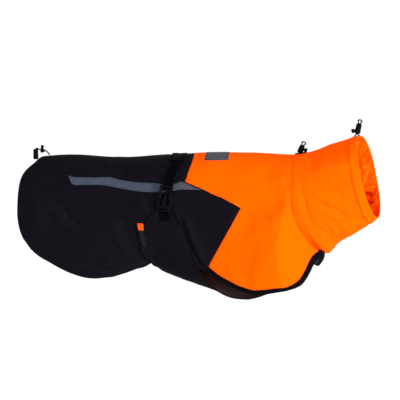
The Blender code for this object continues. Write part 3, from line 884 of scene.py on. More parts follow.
# Light on scuffs and, as a painted highlight, on the edges.
PLASTIC = MouldedPlastic(
    "black_moulded_plastic", "black_plastic", (0.0004, 0.0004, 0.0006), (0.0060, 0.0060, 0.0080), 0.34, 0.018)
RIBBON = WovenRibbon(
    "two_colour_ribbon", "orange_ribbon", (0.80, 0.058, 0.002), (0.011, 0.010, 0.013), 0.5, 0.04, 0.0130)
CORD = BraidedCord(
    "flecked_cord", "grey_cord", (0.002, 0.002, 0.0025), (0.07, 0.07, 0.08), 0.6, 0.03)
BLACK_THREAD = Thread(
    "black_thread", "black_tape", (0.0016, 0.0015, 0.0020), (0.0045, 0.0042, 0.0055), 0.5, 0.04)
ORANGE_THREAD = Thread(
    "orange_thread", "orange_shell", (0.85, 0.055, 0.0), (1.0, 0.088, 0.0), 0.5, 0.03)


# ---------------------------------------------------------------- meshes


def add_mesh(name: str, points: Array, faces: Faces, finish: Finish, crest: Array | None = None,
             uv: Array | None = None) -> Piece:
    """Makes a smooth shaded object of a mesh, which rides on the coat.

    Args:
        name: The piece's name.
        points: Its points in millimetres.
        faces: Point numbers of each face.
        finish: What it looks like.
        crest: How much lighter each point is painted, from 0 to 1: rubbing where cloth and tape stand out, a
            painted highlight on plastic edges, and a painted sheen on the throat loop.
        uv: Cloth coordinates in metres, for each corner of each face in turn.

    Returns:
        The object.
    """
    mesh = bpy.data.meshes.new(name)
    mesh.from_pydata((np.reshape(points, (-1, 3)) * MM).tolist(), [], faces)
    mesh.shade_smooth()
    if uv is not None:
        mesh.uv_layers.new(name="cloth").data.foreach_set("uv", np.asarray(uv, np.float32).ravel())
    if crest is not None:
        kept = mesh.attributes.new("crest", "FLOAT", "POINT")
        kept.data.foreach_set("value", np.asarray(crest, np.float32).ravel())
    mesh.materials.append(finish.material())
    obj = bpy.data.objects.new(name, mesh)
    bpy.context.scene.collection.objects.link(obj)
    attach(obj, "root")
    return obj


def plastic_piece(name: str, node: str, points: Array, faces: Faces, crest: Array) -> Piece:
    """A moulded piece that stands for a node, smooth but for its sharp edges.

    Args:
        name: The piece's name.
        node: The node.
        points: Its points in millimetres.
        faces: Point numbers of each face.
        crest: How much each point is on an edge.

    Returns:
        The object.
    """
    piece = add_mesh(name, points, faces, PLASTIC, crest)
    piece.data.set_sharp_from_angle(angle=SHARP)
    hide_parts(node)
    return piece


def quads(rows: int, columns: int, closed: bool) -> Array:
    """Corner numbers of a grid's faces, turned so that they face along normals().

    Args:
        rows: Lines of the grid.
        columns: Points of a line.
        closed: Whether the lines go round.

    Returns:
        Four numbers a face.
    """
    i, j = np.mgrid[0:rows - 1, 0:columns if closed else columns - 1]
    here, beside = i * columns + j, i * columns + (j + 1) % columns
    return np.stack([here, beside, beside + columns, here + columns], -1).reshape(-1, 4)


def sheet_mesh(name: str, node: str, points: Array, finish: Finish, thick: float = 0.0, closed: bool = False,
               flip: bool = False, crest: Array | None = None, inner: Finish | None = None,
               held: Held | None = None) -> Piece:
    """A sheet on a grid of outside points, with threads along both indices and a wall on its inside.

    Args:
        name: The piece's name.
        node: The node that it stands for, or nothing.
        points: The grid.
        finish: Its outside.
        thick: Its thickness, or 0 for none.
        closed: Whether the second index goes round.
        flip: Whether the faces turn the other way.
        crest: How much lighter each point is painted, from 0 to 1, where it isn't found from its bends:
            rubbing where it stands out, and on the throat loop a painted sheen.
        inner: The finish of its inside, where it isn't the outside's.
        held: How it is held, where it is a sheet of cloth whose cut size is logged.

    Returns:
        The object.
    """
    rows, columns = points.shape[:2]
    faces = quads(rows, columns, closed)
    wide = np.concatenate([points, points[:, :1]], axis=1) if closed else points
    across, down = arcs(wide, 1), arcs(wide, 0)
    across = across - across[:, across.shape[1] // 2][:, None]
    corners = quads(rows, wide.shape[1], False)
    if flip:
        faces, corners = faces[:, ::-1], corners[:, ::-1]
    cloth = np.stack([across, down], axis=-1).reshape(-1, 2)[corners] * MM
    crest = crest_of(points, closed) if crest is None else crest
    obj = add_mesh(name, points, faces.tolist(), finish, crest, cloth)
    if thick:
        wall = obj.modifiers.new("wall", "SOLIDIFY")
        wall.thickness = thick * MM
        wall.offset = -1
        if inner:
            obj.data.materials.append(inner.material())
            wall.material_offset = 1
    if node:
        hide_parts(node)
    if held:
        declare(obj, wide)
    return obj


def crest_of(points: Array, closed: bool = False) -> Array:
    """How sharply a grid bends at each point, from 0 to 1: its second differences over its steps squared.

    Args:
        points: The grid.
        closed: Whether the second index goes round.

    Returns:
        A number for each point.
    """
    n = normals(points, closed)
    bend = np.zeros(points.shape[:2])
    for axis in (0, 1):
        step = np.gradient(np.gradient(points, axis=axis), axis=axis)
        size = np.linalg.norm(np.gradient(points, axis=axis), axis=-1) ** 2
        bend -= (step * n).sum(-1) / np.maximum(size, 1e-6)
    return smooth_step(np.abs(bend) * 9)


def declare(obj: Piece, wide: Array) -> None:
    """Logs the cut size and area of a sheet of cloth, from its own lines.

    Args:
        obj: The piece.
        wide: Its grid, its first column again at its end where it goes round.
    """
    across, down = arcs(wide, 1)[:, -1].max() * MM, arcs(wide, 0)[-1].max() * MM
    one = np.cross(wide[1:, :-1] - wide[:-1, :-1], wide[:-1, 1:] - wide[:-1, :-1])
    two = np.cross(wide[1:, :-1] - wide[1:, 1:], wide[:-1, 1:] - wide[1:, 1:])
    area = float((np.linalg.norm(one, axis=-1) + np.linalg.norm(two, axis=-1)).sum() / 2 * MM**2)
    area = min(max(area, 0.301 * across * down), across * down)
    LOG.info("%s cut %.0f x %.0f mm, %.0f cm2", obj.name, across / MM, down / MM, area * 1e4)


def stitch_row(line: Array, out: Array, pitch: float, thick: float = 0.55) -> tuple[Array, Array]:
    """Stitches along a line: at each pitch a grain of thread, two rings of five points between two tips.

    Args:
        line: Points along the line.
        out: Directions out of the cloth there.
        pitch: From one stitch to the next.
        thick: Width of the thread.

    Returns:
        Points and triangles.
    """
    along = arcs(line, 0)
    at = np.arange(pitch / 2, along[-1], pitch)
    middle, up = (np.stack([np.interp(at, along, rows[:, k]) for k in range(3)], -1) for rows in (line, out))
    ahead = np.stack([np.interp(at + 0.5, along, line[:, k]) for k in range(3)], -1)
    way, up = unit(ahead - middle + 1e-9), unit(up)
    side = np.cross(way, up)
    turn = np.arange(5) * 2 * math.pi / 5
    ring = np.cos(turn)[None, :, None] * side[:, None] + np.sin(turn)[None, :, None] * up[:, None] * 0.8
    half = pitch * 0.42
    middle = middle + up * thick * 0.12
    rings = [middle[:, None] + way[:, None] * half * t + ring * thick / 2 for t in (-0.55, 0.55)]
    tips = [(middle + way * half * t - up * thick * 0.35)[:, None] for t in (-1, 1)]
    points = np.concatenate([tips[0], *rings, tips[1]], axis=1)
    k, n = np.arange(5), (np.arange(5) + 1) % 5
    grain = np.concatenate([
        np.stack([0 * k, 1 + n, 1 + k], 1), np.stack([1 + k, 1 + n, 6 + n], 1),
        np.stack([1 + k, 6 + n, 6 + k], 1), np.stack([6 + k, 6 + n, 11 + 0 * k], 1),
    ])
    faces = grain[None] + 12 * np.arange(len(points))[:, None, None]
    return points.reshape(-1, 3), faces.reshape(-1, 3)


@dataclass
class Sewing:
    """Rows of stitches that are collected while the coat is built."""

    rows: dict[Finish, list[tuple[Array, Array]]] = field(default_factory=dict)

    def along(self, points: Array, out: Array, share: Array | float, finish: Finish,
              pitch: float = SEAM_STITCH) -> None:
        """Sews across all lines of a grid at a share of each line's length.

        Args:
            points: The grid.
            out: Its normals.
            share: Where on each line.
            finish: The thread.
            pitch: From one stitch to the next.
        """
        both = recut(np.concatenate([points, points + out], axis=-1), share, share, 1)[:, 0]
        self.line(both[:, :3], both[:, 3:] - both[:, :3], finish, pitch)

    def line(self, points: Array, out: Array, finish: Finish, pitch: float = SEAM_STITCH) -> None:
        """Sews along a line with the directions out of the cloth."""
        self.rows.setdefault(finish, []).append(stitch_row(points, out, pitch))

    def build(self) -> None:
        """Makes one piece of each thread's stitches."""
        for finish, rows in self.rows.items():
            starts = np.cumsum([0] + [len(points) for points, _ in rows])
            faces = np.concatenate([faces + start for (_, faces), start in zip(rows, starts)]).tolist()
            add_mesh(f"stitches_{finish.name}", np.concatenate([points for points, _ in rows]), faces, finish)
            LOG.info("stitches of %s: %d", finish.name, len(faces) // 20)


SEWING = Sewing()


# ---------------------------------------------------------------- the coat's panels


@dataclass
class BackPanel:
    """The black panel over the back and both flanks, from the tail to the zigzag seam."""

    thick: float = 1.4
    hem_fold: float = 11.0
    # How far the turning at the seam reaches under the front panel, and how deep it lies.
    turning: float = 4.5
    turning_depth: float = 1.9
    # Lines from the spine to each corner of the seam and on to the hem.
    shape: tuple[int, int, int] = (38, 34, 50)
    columns: int = 150
    # x, z, share of the girth; the fourth and fifth rows are the corners.
    zigzag: Rows = (
        (55, 5.9, 0.0), (54, -5, 0.13), (49, -22, 0.22), (42, -43, 0.30), (154.8, -87, 0.48), (83, -219, 1.0),
    )
    rear_edge: Rows = (
        (-252, -4.5), (-256, -6.6), (-262, -13), (-272, -21.5), (-280, -29.5), (-287, -44), (-290.5, -67),
        (-291, -93), (-290, -119), (-285, -143), (-278, -160), (-268, -174),
    )
    side_hem: Rows = (
        (-268, -174), (-257, -186), (-245, -195), (-225, -206), (-209, -215), (-185, -226.5), (-161, -234.5),
        (-138, -237.5), (-102, -234), (-79, -227.5), (-56, -219.8), (-33, -213), (-5, -211), (30, -213),
        (85, -217),
    )

    def shares(self) -> Array:
        """Shares of the girth of the panel's lines, one of them on each corner of the seam.

        Returns:
            Shares from 0 on the spine to 1 at the hem.
        """
        first, second, third = self.shape
        corner, tip = self.zigzag[3][2], self.zigzag[4][2]
        return np.concatenate([
            np.linspace(0, corner, first + 1)[:-1], np.linspace(corner, tip, second + 1)[:-1],
            np.linspace(tip, 1, third + 1),
        ])

    def seam(self) -> Array:
        """The zigzag seam: smooth above its first corner, straight in side view below.

        Returns:
            x and girth angle for each share.
        """
        shares, table = self.shares(), np.array(self.zigzag, float)
        angles = FORM.angle(table[:, 0], table[:, 1])
        angles[0] = 0
        straight = np.stack([np.interp(shares, table[3:, 2], table[3:, k]) for k in (0, 1)], axis=-1)
        upper = shares < table[3, 2]
        x = np.where(upper, spline(shares, table[:4, 2], table[:4, 0]), straight[:, 0])
        angle = np.where(upper, spline(shares, table[:4, 2], angles[:4]), FORM.on_form(straight)[:, 1])
        return np.stack([x, angle], axis=-1)

    def flat(self) -> Array:
        """The near half: a patch between rear edge, side hem, seam and spine.

        Returns:
            Its grid of x and girth angle.
        """
        seam = self.seam()
        rear = travel(FORM.on_form(self.rear_edge), self.shares(), FLAT_SCALE)
        rear[0, 1] = 0
        share = np.linspace(0, 1, self.columns)
        spine = np.stack([rear[0, 0] + (seam[0, 0] - rear[0, 0]) * share, 0 * share], axis=-1)
        hem = travel(FORM.on_form(self.side_hem), share, FLAT_SCALE)
        hem[0], hem[-1] = rear[-1], seam[-1]
        return coons(spine, hem, rear, seam)

    def build(self) -> None:
        """Builds the panel with its folded hem, seam dip, turning and stitches."""
        x, angle = np.moveaxis(mirrored(self.flat()), -1, 0)
        plain = FORM.point(x, angle)
        to_rear, girth = arcs(plain, 0), arcs(plain, 1)
        to_seam = to_rear[-1] - to_rear
        to_hem = np.minimum(girth, girth[:, -1:] - girth)
        edge = np.minimum(to_hem, to_rear) - self.hem_fold
        out = 0.55 * (1 - smooth_step((edge + 1) / 1.6)) - 0.5 * bell(edge, 1.3)
        out += pucker(girth, np.abs(to_rear - self.hem_fold), 0.5, 1.0) * (to_rear < 60)
        out += pucker(to_rear, np.abs(to_hem - self.hem_fold), 0.42, 2.3)
        out += pucker(girth, to_seam, 0.4, 0.4) - 0.7 * bell(to_seam, 1.6)
        under = self.turning * smooth_step(to_hem[-1:] / 9)
        turning = FORM.point(x[-1:] + under, angle[-1:], -self.turning_depth)
        points = np.concatenate([FORM.point(x, angle, out), turning], axis=0)
        sheet_mesh("back_panel_cloth", "back_panel", points, BLACK_SHELL, self.thick, inner=BROWN_LINING,
                   held=Held.STRETCHED)
        n = normals(points)
        length = arcs(points, 1)[:, -1]
        for share in (self.hem_fold / length, 1 - self.hem_fold / length):
            SEWING.along(points[14:], n[14:], share[14:], BLACK_THREAD)
        down, share = points.swapaxes(0, 1), self.hem_fold / to_rear[-1]
        SEWING.along(down[5:-5], n.swapaxes(0, 1)[5:-5], share[5:-5], BLACK_THREAD)


@dataclass
class FrontPanel:
    """The orange panel over withers, shoulders and chest, from the zigzag seam to the neck seam."""

    back: BackPanel
    thick: float = 1.4
    columns: int = 120
    binding: float = 14.0
    # x, y, z on the near side, from the spine to the throat.
    neck_seam: Rows = (
        (250, 0, 3), (249, -20, 1), (248, -38, -6), (247, -52, -18), (249, -65, -36), (249, -73, -56),
        (248, -76, -80), (250, -75, -97), (255, -72, -113), (263, -67, -129), (271, -59, -144),
        (284, -43, -164), (303, -12, -186),
    )
    # Outside of the binding: x, y, z, from the zigzag seam to the throat.
    hem: Rows = (
        (83, -66, -221), (102, -70, -233), (124, -72, -244), (145, -72, -253), (164, -70, -260),
        (183, -68, -264), (203, -63, -262), (222, -58, -258.5), (240, -51.5, -257), (255, -44, -255.5),
        (267, -36, -251), (277, -30, -240.5), (285, -25, -228), (292, -20, -215), (300, -16, -205),
        (311, -13, -197),
    )

    def grid(self) -> Array:
        """Both halves: a patch between the two seams, the spine and the hem, relaxed, with folds moved out.

        Near the zigzag seam it is blended into the worn form, and its first line is the back panel's own.

        Returns:
            The grid, from seam to seam and from the far hem to the near one.
        """
        shares, seam = self.back.shares(), self.back.seam()
        rear = FORM.point(seam[:, 0], seam[:, 1])
        rear[:, 1] = np.minimum(rear[:, 1], 0)
        neck = travel(self.neck_seam, shares) - shares[:, None] ** 3 * (0, 0, 1.5)
        share = np.linspace(0, 1, self.columns)
        spine = FORM.point(rear[0, 0] + (neck[0, 0] - rear[0, 0]) * share, 0 * share) * (1, 0, 1)
        spine[-1], spine[0] = neck[0], rear[0]
        hem = travel(self.hem, share)
        hem += (rear[-1] - hem[0]) * (1 - smooth_step(share * 8))[:, None]
        neck[-1] = hem[-1]
        grid = relax(mirrored(coons(spine, hem, rear, neck)), 60)
        u = np.linspace(0, 1, grid.shape[0])[:, None]
        v = np.abs(np.linspace(-1, 1, grid.shape[1]))[None]
        side = -np.sign(grid[..., 1] - 1e-6)
        on_body = (1 - smooth_step(u * 1.7)) * smooth_step((1 - v) * 5)
        body = FORM.point(grid[..., 0], FORM.angle(grid[..., 0], grid[..., 2]) * side)
        grid = grid + (body - grid) * on_body[..., None]
        folds = FORM.relief(grid[..., 0], grid[..., 2], side) * smooth_step(u * 7) * smooth_step(v * 4)
        folds *= smooth_step((1 - u) * 13) * (1 - on_body)
        grid = grid + normals(grid) * folds[..., None]
        both = np.concatenate([seam[:0:-1] * (1, -1), seam])
        return grid + (FORM.point(both[:, 0], both[:, 1]) - grid[0]) * (1 - smooth_step(u * 9))[..., None]

    def build(self) -> None:
        """Builds the panel and its two bindings, with the seams' stitches."""
        grid = self.grid()
        n = normals(grid)
        run = arcs(grid, 0)
        to_seam, to_neck, girth = run, run[-1] - run, arcs(grid, 1)
        to_hem = np.minimum(girth, girth[:, -1:] - girth)
        lip = 0.8 - 1.3 * smooth_step((grid[..., 2] + 62) / 24)
        out = 0.35 * smooth_step(to_seam / 2) + pucker(girth, to_seam, 0.35, 0.9)
        out += pucker(girth, to_neck, 0.45, 1.9, 9.0) + lip * bell(to_neck, 2.2)
        out += pucker(run, np.abs(to_hem - self.binding), 0.3, 3.1) * smooth_step(to_seam / 12)
        points = grid + n * (out * smooth_step(to_seam / 1.5))[..., None]
        length = girth[:, -1]
        inset = (self.binding - 1.2) / length
        cloth = recut(points, inset, 1 - inset, grid.shape[1])
        cloth[0] = np.where(np.abs(np.linspace(-1, 1, grid.shape[1]))[:, None] < 0.97, points[0], cloth[0])
        sheet_mesh("front_panel_cloth", "front_panel", cloth, ORANGE_SHELL, self.thick, inner=ORANGE_FACING,
                   held=Held.STRETCHED)
        down, out_down = cloth.swapaxes(0, 1), normals(cloth).swapaxes(0, 1)
        span = arcs(cloth, 0)[-1]
        for away in (2.0, 7.0):
            SEWING.along(down[6:-6], out_down[6:-6], (away / span)[6:-6], ORANGE_THREAD)
        SEWING.along(down[4:-4], out_down[4:-4], (1 - 2.6 / span)[4:-4], ORANGE_THREAD)
        for side in Side:
            self.bind(points, length, side)

    def bind(self, points: Array, length: Array, side: Side) -> None:
        """Folds tape round the hem: across it the tape swells as a half sine, its inner edge sewn down.

        Args:
            points: The panel's grid with its hem at both ends of each line.
            length: The lines' lengths.
            side: Which hem.
        """
        flip = side is Side.FAR
        start, end = (self.binding / length, 0.0) if flip else (1 - self.binding / length, 1.0)
        tape = recut(points, start, end, 9)
        n = normals(tape, flip=flip)
        across = np.linspace(0, 1, 9)[None]
        run = arcs(tape, 0)
        swell = 0.5 + 0.55 * np.sin(math.pi * across) ** 0.6 + pucker(run, 2 + 0 * run, 0.25, 2.0)
        tape = tape + n * swell[..., None]
        crest = np.broadcast_to(across**4 * 0.7, tape.shape[:2])
        node = f"hem_binding_{side.word}"
        sheet_mesh(f"hem_tape_{side.word}", node, tape, BLACK_TAPE, 2.6, flip=flip, crest=crest)
        SEWING.along(tape[2:], n[2:], 0.2, BLACK_THREAD, TAPE_STITCH)


@dataclass
class Collar:
    """The stand-up tube collar, its drawcord hem at the rim, and the lining inside it."""

    front: FrontPanel
    thick: float = 1.3
    rows: int = 124
    around: int = 208
    rim_girth: float = 480.0
    hem_start: float = 0.855
    # How far the tube sags behind the throat seam and along its underside, and dips along the nape.
    throat_sag: float = 14.0
    under_sag: float = 6.5
    nape_dip: float = 3.6
    # How far the far upper part of the rim stands forward.
    rim_bulge: float = 3.8
    rim_middle: Point = (400, 0, -39.5)
    rim_up: Point = (-19, 0, 81.5)
    rim_near: Point = (-16.5, -71, 5)
    # Share of the way from seam to rim, how far the cloth stands out there.
    waves: Rows = (
        (0.0, 0.0), (0.07, 1.0), (0.17, 0.3), (0.28, 1.2), (0.40, 0.6), (0.52, 1.5),
        (0.64, 0.8), (0.76, 1.0), (0.87, 0.0), (1.0, 0.0),
    )
    folds: Sequence[Crease] = creases(
        (263, -50, 269, -112, 2, 3.0, 0.45, 0.4, 0.5), (269, -108, 308, -180, 3, 3.2, 0.75, 0.7, 0.4),
        (256, -104, 268, -134, 1, 2.8, -1.6, -1.3, 0.1), (272, -66, 284, -116, 1, 6, -1.7, -1.5, 0.1),
        (284, -112, 306, -156, 1, 5.5, -1.6, -1.3, 0.1), (290, -64, 334, -86, -3, 7, 2.4, 2.0, 0.2),
        (308, -90, 356, -112, -3, 6.5, -2.4, -2.0, 0.2), (284, -50, 340, -62, -2, 9, -1.8, -1.5, 0),
        (336, -62, 376, -100, -5, 9, -1.9, -1.6, 0), (318, -117, 372, -121, 2, 6, -1.6, -1.3, 0.2),
        (366, -121, 406, -117, 0, 4.5, -3.2, -2.8, 0.3), (324, -126, 336, -148, -2, 6, 2.2, 1.9, 0.3),
        (296, -126, 322, -152, 2, 6, -1.8, -1.5, 0.2), (346, -124, 372, -142, 3, 8, 1.4, 1.6, 0.2),
        (288, -26, 376, -8, -3, 10, 2.4, 2.2, 0), (280, 2, 374, 24, -3, 15, -3.4, -3.0, 0),
        (276, 6, 292, -5, 1, 3.5, -1.6, -1.4, 0.3), (330, -34, 362, -44, 3, 9, -1.2, -1.0, 0.2),
    )

    def turns(self) -> Array:
        """Angles round the tube, from the spine towards the near side."""
        return circle(self.around)

    def rings(self, shares: Array, out: Array | float = 0.0, fine: bool = True) -> Array:
        """Rings from seam to rim: a straight loft with waves along it and folds across it, moved out.

        Args:
            shares: Shares of the way from the neck seam to the rim; one a ring, or one for each point of it.
            out: How far outside; one number, or one for each ring and point.
            fine: Whether the small folds are on it.

        Returns:
            The grid, its lines starting on the spine and turning to the near side.
        """
        turn = self.turns()
        way = np.abs((turn + math.pi) % (2 * math.pi) - math.pi) / math.pi
        base = travel(self.front.neck_seam, way)
        base[:, 1] = np.where(turn > math.pi, -base[:, 1], base[:, 1])
        base[np.isclose(way, 1), 1] = 0
        rim = (np.array(self.rim_middle) + np.cos(turn)[:, None] * np.array(self.rim_up)
               + np.sin(turn)[:, None] * np.array(self.rim_near))
        far_top = np.clip(np.cos(turn), 0, 1) * np.clip(-np.sin(turn), 0, 1)
        rim += self.rim_bulge * far_top[:, None] * (1, 0, 1)
        share = np.asarray(shares, float)
        share = share[:, None] if share.ndim == 1 else share
        rings = base * (1 - share[..., None]) + rim * share[..., None]
        under, over = np.clip(-np.cos(turn), 0, 1) ** 2, np.clip(np.cos(turn), 0, 1) ** 2
        rings[..., 2] -= self.throat_sag * bell(share - 0.18, 0.11) * under * smooth_step(share * 8)
        rings[..., 2] -= self.under_sag * np.sin(math.pi * share) * under
        rings[..., 2] -= self.nape_dip * np.sin(math.pi * np.clip(share * 1.8, 0, 1)) * over
        table = np.array(self.waves)
        at = np.clip(share + 0.05 * np.cos(turn - 0.6) * np.sin(math.pi * share), 0, 1)
        wave = spline(at, table[:, 0], table[:, 1])
        depth = (0.45 + 0.55 * np.abs(np.sin(turn + 0.35)) ** 1.5) * (1 - 0.75 * over)
        away = unit(rings - rings.mean(axis=1, keepdims=True))
        rise = wave * depth + out
        if fine:
            x, z, side = rings[..., 0], rings[..., 2], np.sin(turn) + 0 * share
            low = smooth_step(np.abs(side) * 3) * smooth_step(share * 9) * smooth_step((0.93 - share) * 9)
            rise = rise + sum(fold.height(x, z, side) for fold in self.folds) * low
            rise = rise + 0.4 * ripple(x, z + 40 * side, 46, 2.2) * smooth_step((0.98 - share) * 9)
        return rings + away * rise[..., None]

    def build(self) -> None:
        """Builds the tube, its hem channel and the two parts of the inside."""
        shares = np.linspace(0.0, self.hem_start + 0.004, self.rows)
        plain = self.rings(shares)
        run, girth = arcs(plain, 0), arcs(plain, 1)
        out = pucker(girth, run, 0.55, 2.4, 9.0) - 0.3 * bell(run, 1.6) + 0.2 * smooth_step(run / 8)
        out += pucker(girth, run[-1] - run, 0.8, 0.6, 10.0) * 0.8
        tube = plain + normals(plain, True) * out[..., None]
        sheet_mesh("collar_cloth", "collar", tube, ORANGE_SHELL, self.thick, True, inner=ORANGE_FACING,
                   held=Held.STRETCHED)
        n = normals(tube, True)
        SEWING.line(np.roll(tube[4], 3, 0), np.roll(n[4], 3, 0), ORANGE_THREAD)
        self.build_hem()
        self.build_lining()

    def build_hem(self) -> None:
        """The drawcord channel: across it a low arch with gathers, its edge rolled over the rim."""
        share = np.concatenate([np.linspace(self.hem_start, 0.985, 25), [0.992, 0.998, 1.0, 1.0, 0.997]])
        over = np.concatenate([0 * share[:25], [0, 0.0, -0.2, -1.6, -2.9]])
        t = np.clip((share - self.hem_start) / (1 - self.hem_start), 0, 1)[:, None]
        girth = np.linspace(0, self.rim_girth, self.around)[None]
        low = 1 - 0.6 * np.clip(np.cos(self.turns()), 0, 1)[None] ** 0.7
        arch = 0.5 + 0.8 * np.sin(math.pi * t) ** 0.7
        arch = arch + (1.5 * bell(t - 0.34, 0.17) - 0.8 * bell(t - 0.08, 0.07)) * low
        gather = pucker(girth, 0 * t, 0.25, 1.2) * np.sin(math.pi * t)
        gather = gather + pucker(girth * 0.55, 0 * t, 0.35, 3.0) * t
        grid = self.rings(share, arch + gather + over[:, None])
        sheet_mesh("collar_hem_cloth", "collar_hem", grid, ORANGE_SHELL, 2.4, True, inner=ORANGE_FACING)
        SEWING.line(grid[2], normals(grid, True)[2], ORANGE_THREAD)

    def build_lining(self) -> None:
        """The inside: an orange facing at the rim and below it a lining, painted dark red as shade, which
        rides up low in the tube.
        """
        turn = self.turns()
        c = np.cos(turn)
        meet = 0.58 + 0.35 * smooth_step((-0.16 - c) / 0.22) - 0.42 * smooth_step((-0.64 - c) / 0.14)
        meet = meet + 0.012 * np.sin(9 * turn + 2 * np.sin(2 * turn))
        for name, node, low, high, finish, deep, seed, count, rough in (
            ("collar_facing", "", meet, 0.985, ORANGE_FACING, 4.2, 1.5, 60, 2.1),
            ("collar_lining_cloth", "collar_lining", 0.28, meet + 0.02, LINING_PAINTED_SHADE, 3.8, 4.2, 90, 1.9),
        ):
            t = np.linspace(0, 1, count)[:, None]
            share = low + (high - low) * t
            across, run = turn[None] * 70, share * 160
            sharp = 0.5 - np.abs(ripple(across + 0.3 * run, run, 27, seed))
            wrinkle = rough * sharp + 0.7 * (0.5 - np.abs(ripple(across, run * 1.3, 13, seed + 1)))
            fade = smooth_step(t * 8) * smooth_step((1 - t) * 8)
            grid = self.rings(share, -deep + wrinkle * fade)
            sheet_mesh(name, node, grid, finish, 0.0, True, True, held=Held.GATHERED)


@dataclass
class BellyPanel:
    """The black panel under the chest and belly, whose wings wrap up over both flanks."""

    thick: float = 1.3
    lift: float = 2.7
    edge: float = 5.0
    rear_rise: float = 6.0
    rows: int = 150
    columns: int = 181
    # Centre line x and height, edge x and height, half width of the hanging strip, share of hanging strip.
    table: Rows = (
        (-25, -223, -9, -97, 84, 0.0), (-14, -228, 18, -101, 84, 0.0), (-2, -232, 30, -112, 84, 0.0),
        (12, -238, 40, -136, 84, 0.0), (26, -245, 50, -163, 84, 0.0), (44, -253, 63, -201, 84, 0.0),
        (64, -260, 78, -231, 80, 0.0), (88, -269, 98, -256, 68, 0.35), (112, -276, 117, -271, 58, 0.85),
        (136, -280, 138, -278, 53, 1.0), (160, -281, 160, -280, 50, 1.0), (184, -278, 184, -276, 48, 1.0),
        (208, -268, 208, -267, 45, 1.0), (232, -257, 232, -256, 40, 1.0), (252, -243, 252, -242, 31, 1.0),
        (268, -227, 268, -226, 22, 1.0), (282, -210, 282, -209, 13, 1.0), (294, -198, 294, -197, 7, 1.0),
    )
    # Rear edge of the wing: share of the way from belly to wing top, how far it stands back.
    wing_back: Rows = (
        (0.0, 0), (0.25, 0), (0.45, 10), (0.62, 26), (0.74, 30), (0.86, 30), (0.93, 18), (1.0, 0),
    )

    def grid(self) -> Array:
        """The body's girth blended into a strip that hangs.

        Returns:
            The grid, from rear edge to throat and from the far edge to the near one.
        """
        table = np.array(self.table, float)
        at = np.linspace(0, 1, self.rows)
        x_mid, z_mid, x_edge, z_edge, half, hang = (
            spline(at, np.linspace(0, 1, len(table)), table[:, k])[:, None] for k in range(6)
        )
        s = np.linspace(-1, 1, self.columns)[None]
        side = np.abs(s)
        back = np.array(self.wing_back, float)
        x = x_mid + (x_edge - x_mid) * side**1.6
        x = x - spline(side, back[:, 0], back[:, 1]) * (1 - smooth_step(at * 6))[:, None]
        top = FORM.angle(x_edge, np.maximum(z_edge, FORM.sizes(x_edge)[1] + 4))
        angle = (math.pi - (math.pi - top) * side) * np.sign(s + 1e-9)
        slack = 0.8 * smooth_step((0.6 - side) / 0.2) * (1 - smooth_step(at * 5 - 0.6))[:, None]
        wing = FORM.point(x, angle, self.lift + slack)
        rear = (1 - smooth_step(at * 14))[:, None]
        wing[..., 2] += self.rear_rise * rear * smooth_step((0.36 - side) / 0.2)
        strip = np.stack([x, -half * s, z_mid + (z_edge - z_mid) * side**2.2], axis=-1)
        return wing + (strip - wing) * hang[..., None]

    def build(self) -> None:
        """Builds the panel, brown inside, and the turned edges of both its sides."""
        grid = self.grid()
        run, girth = arcs(grid, 0), arcs(grid, 1)
        to_side = np.minimum(girth, girth[:, -1:] - girth)
        out = 0.3 * ripple(run, girth, 38, 5.0) + pucker(run, np.abs(to_side - self.edge), 0.4, 1.7)
        out += 0.35 * (1 - smooth_step((run - 7) / 2)) + pucker(girth, run, 0.35, 0.7)
        points = grid - normals(grid) * out[..., None]
        sheet_mesh("belly_panel_cloth", "belly_panel", points, BLACK_SHELL, self.thick, flip=True,
                   inner=BROWN_LINING, held=Held.HUNG)
        n, length = normals(points, flip=True), girth[:, -1]
        for side in Side:
            near = side is Side.NEAR
            start, end = (1 - self.edge / length, 1.0) if near else (self.edge / length, 0.0)
            tape = recut(points, start, end, 7)
            turned = normals(tape, flip=near)
            across = np.linspace(0, 1, 7)[None]
            tape = tape + turned * (0.35 + 0.45 * np.sin(math.pi * across) ** 0.6)[..., None]
            crest = np.broadcast_to(across**3 * 0.1, tape.shape[:2])
            sheet_mesh(f"belly_edge_{side.word}", f"belly_binding_{side.word}", tape[1:], BLACK_TAPE, 1.9,
                       flip=near, crest=crest[1:])
            SEWING.along(tape[3:], turned[3:], 0.15, BLACK_THREAD, TAPE_STITCH)
        SEWING.line(points[6, 8:-8], n[6, 8:-8], BLACK_THREAD)


# ---------------------------------------------------------------- tapes, webbing and buckles


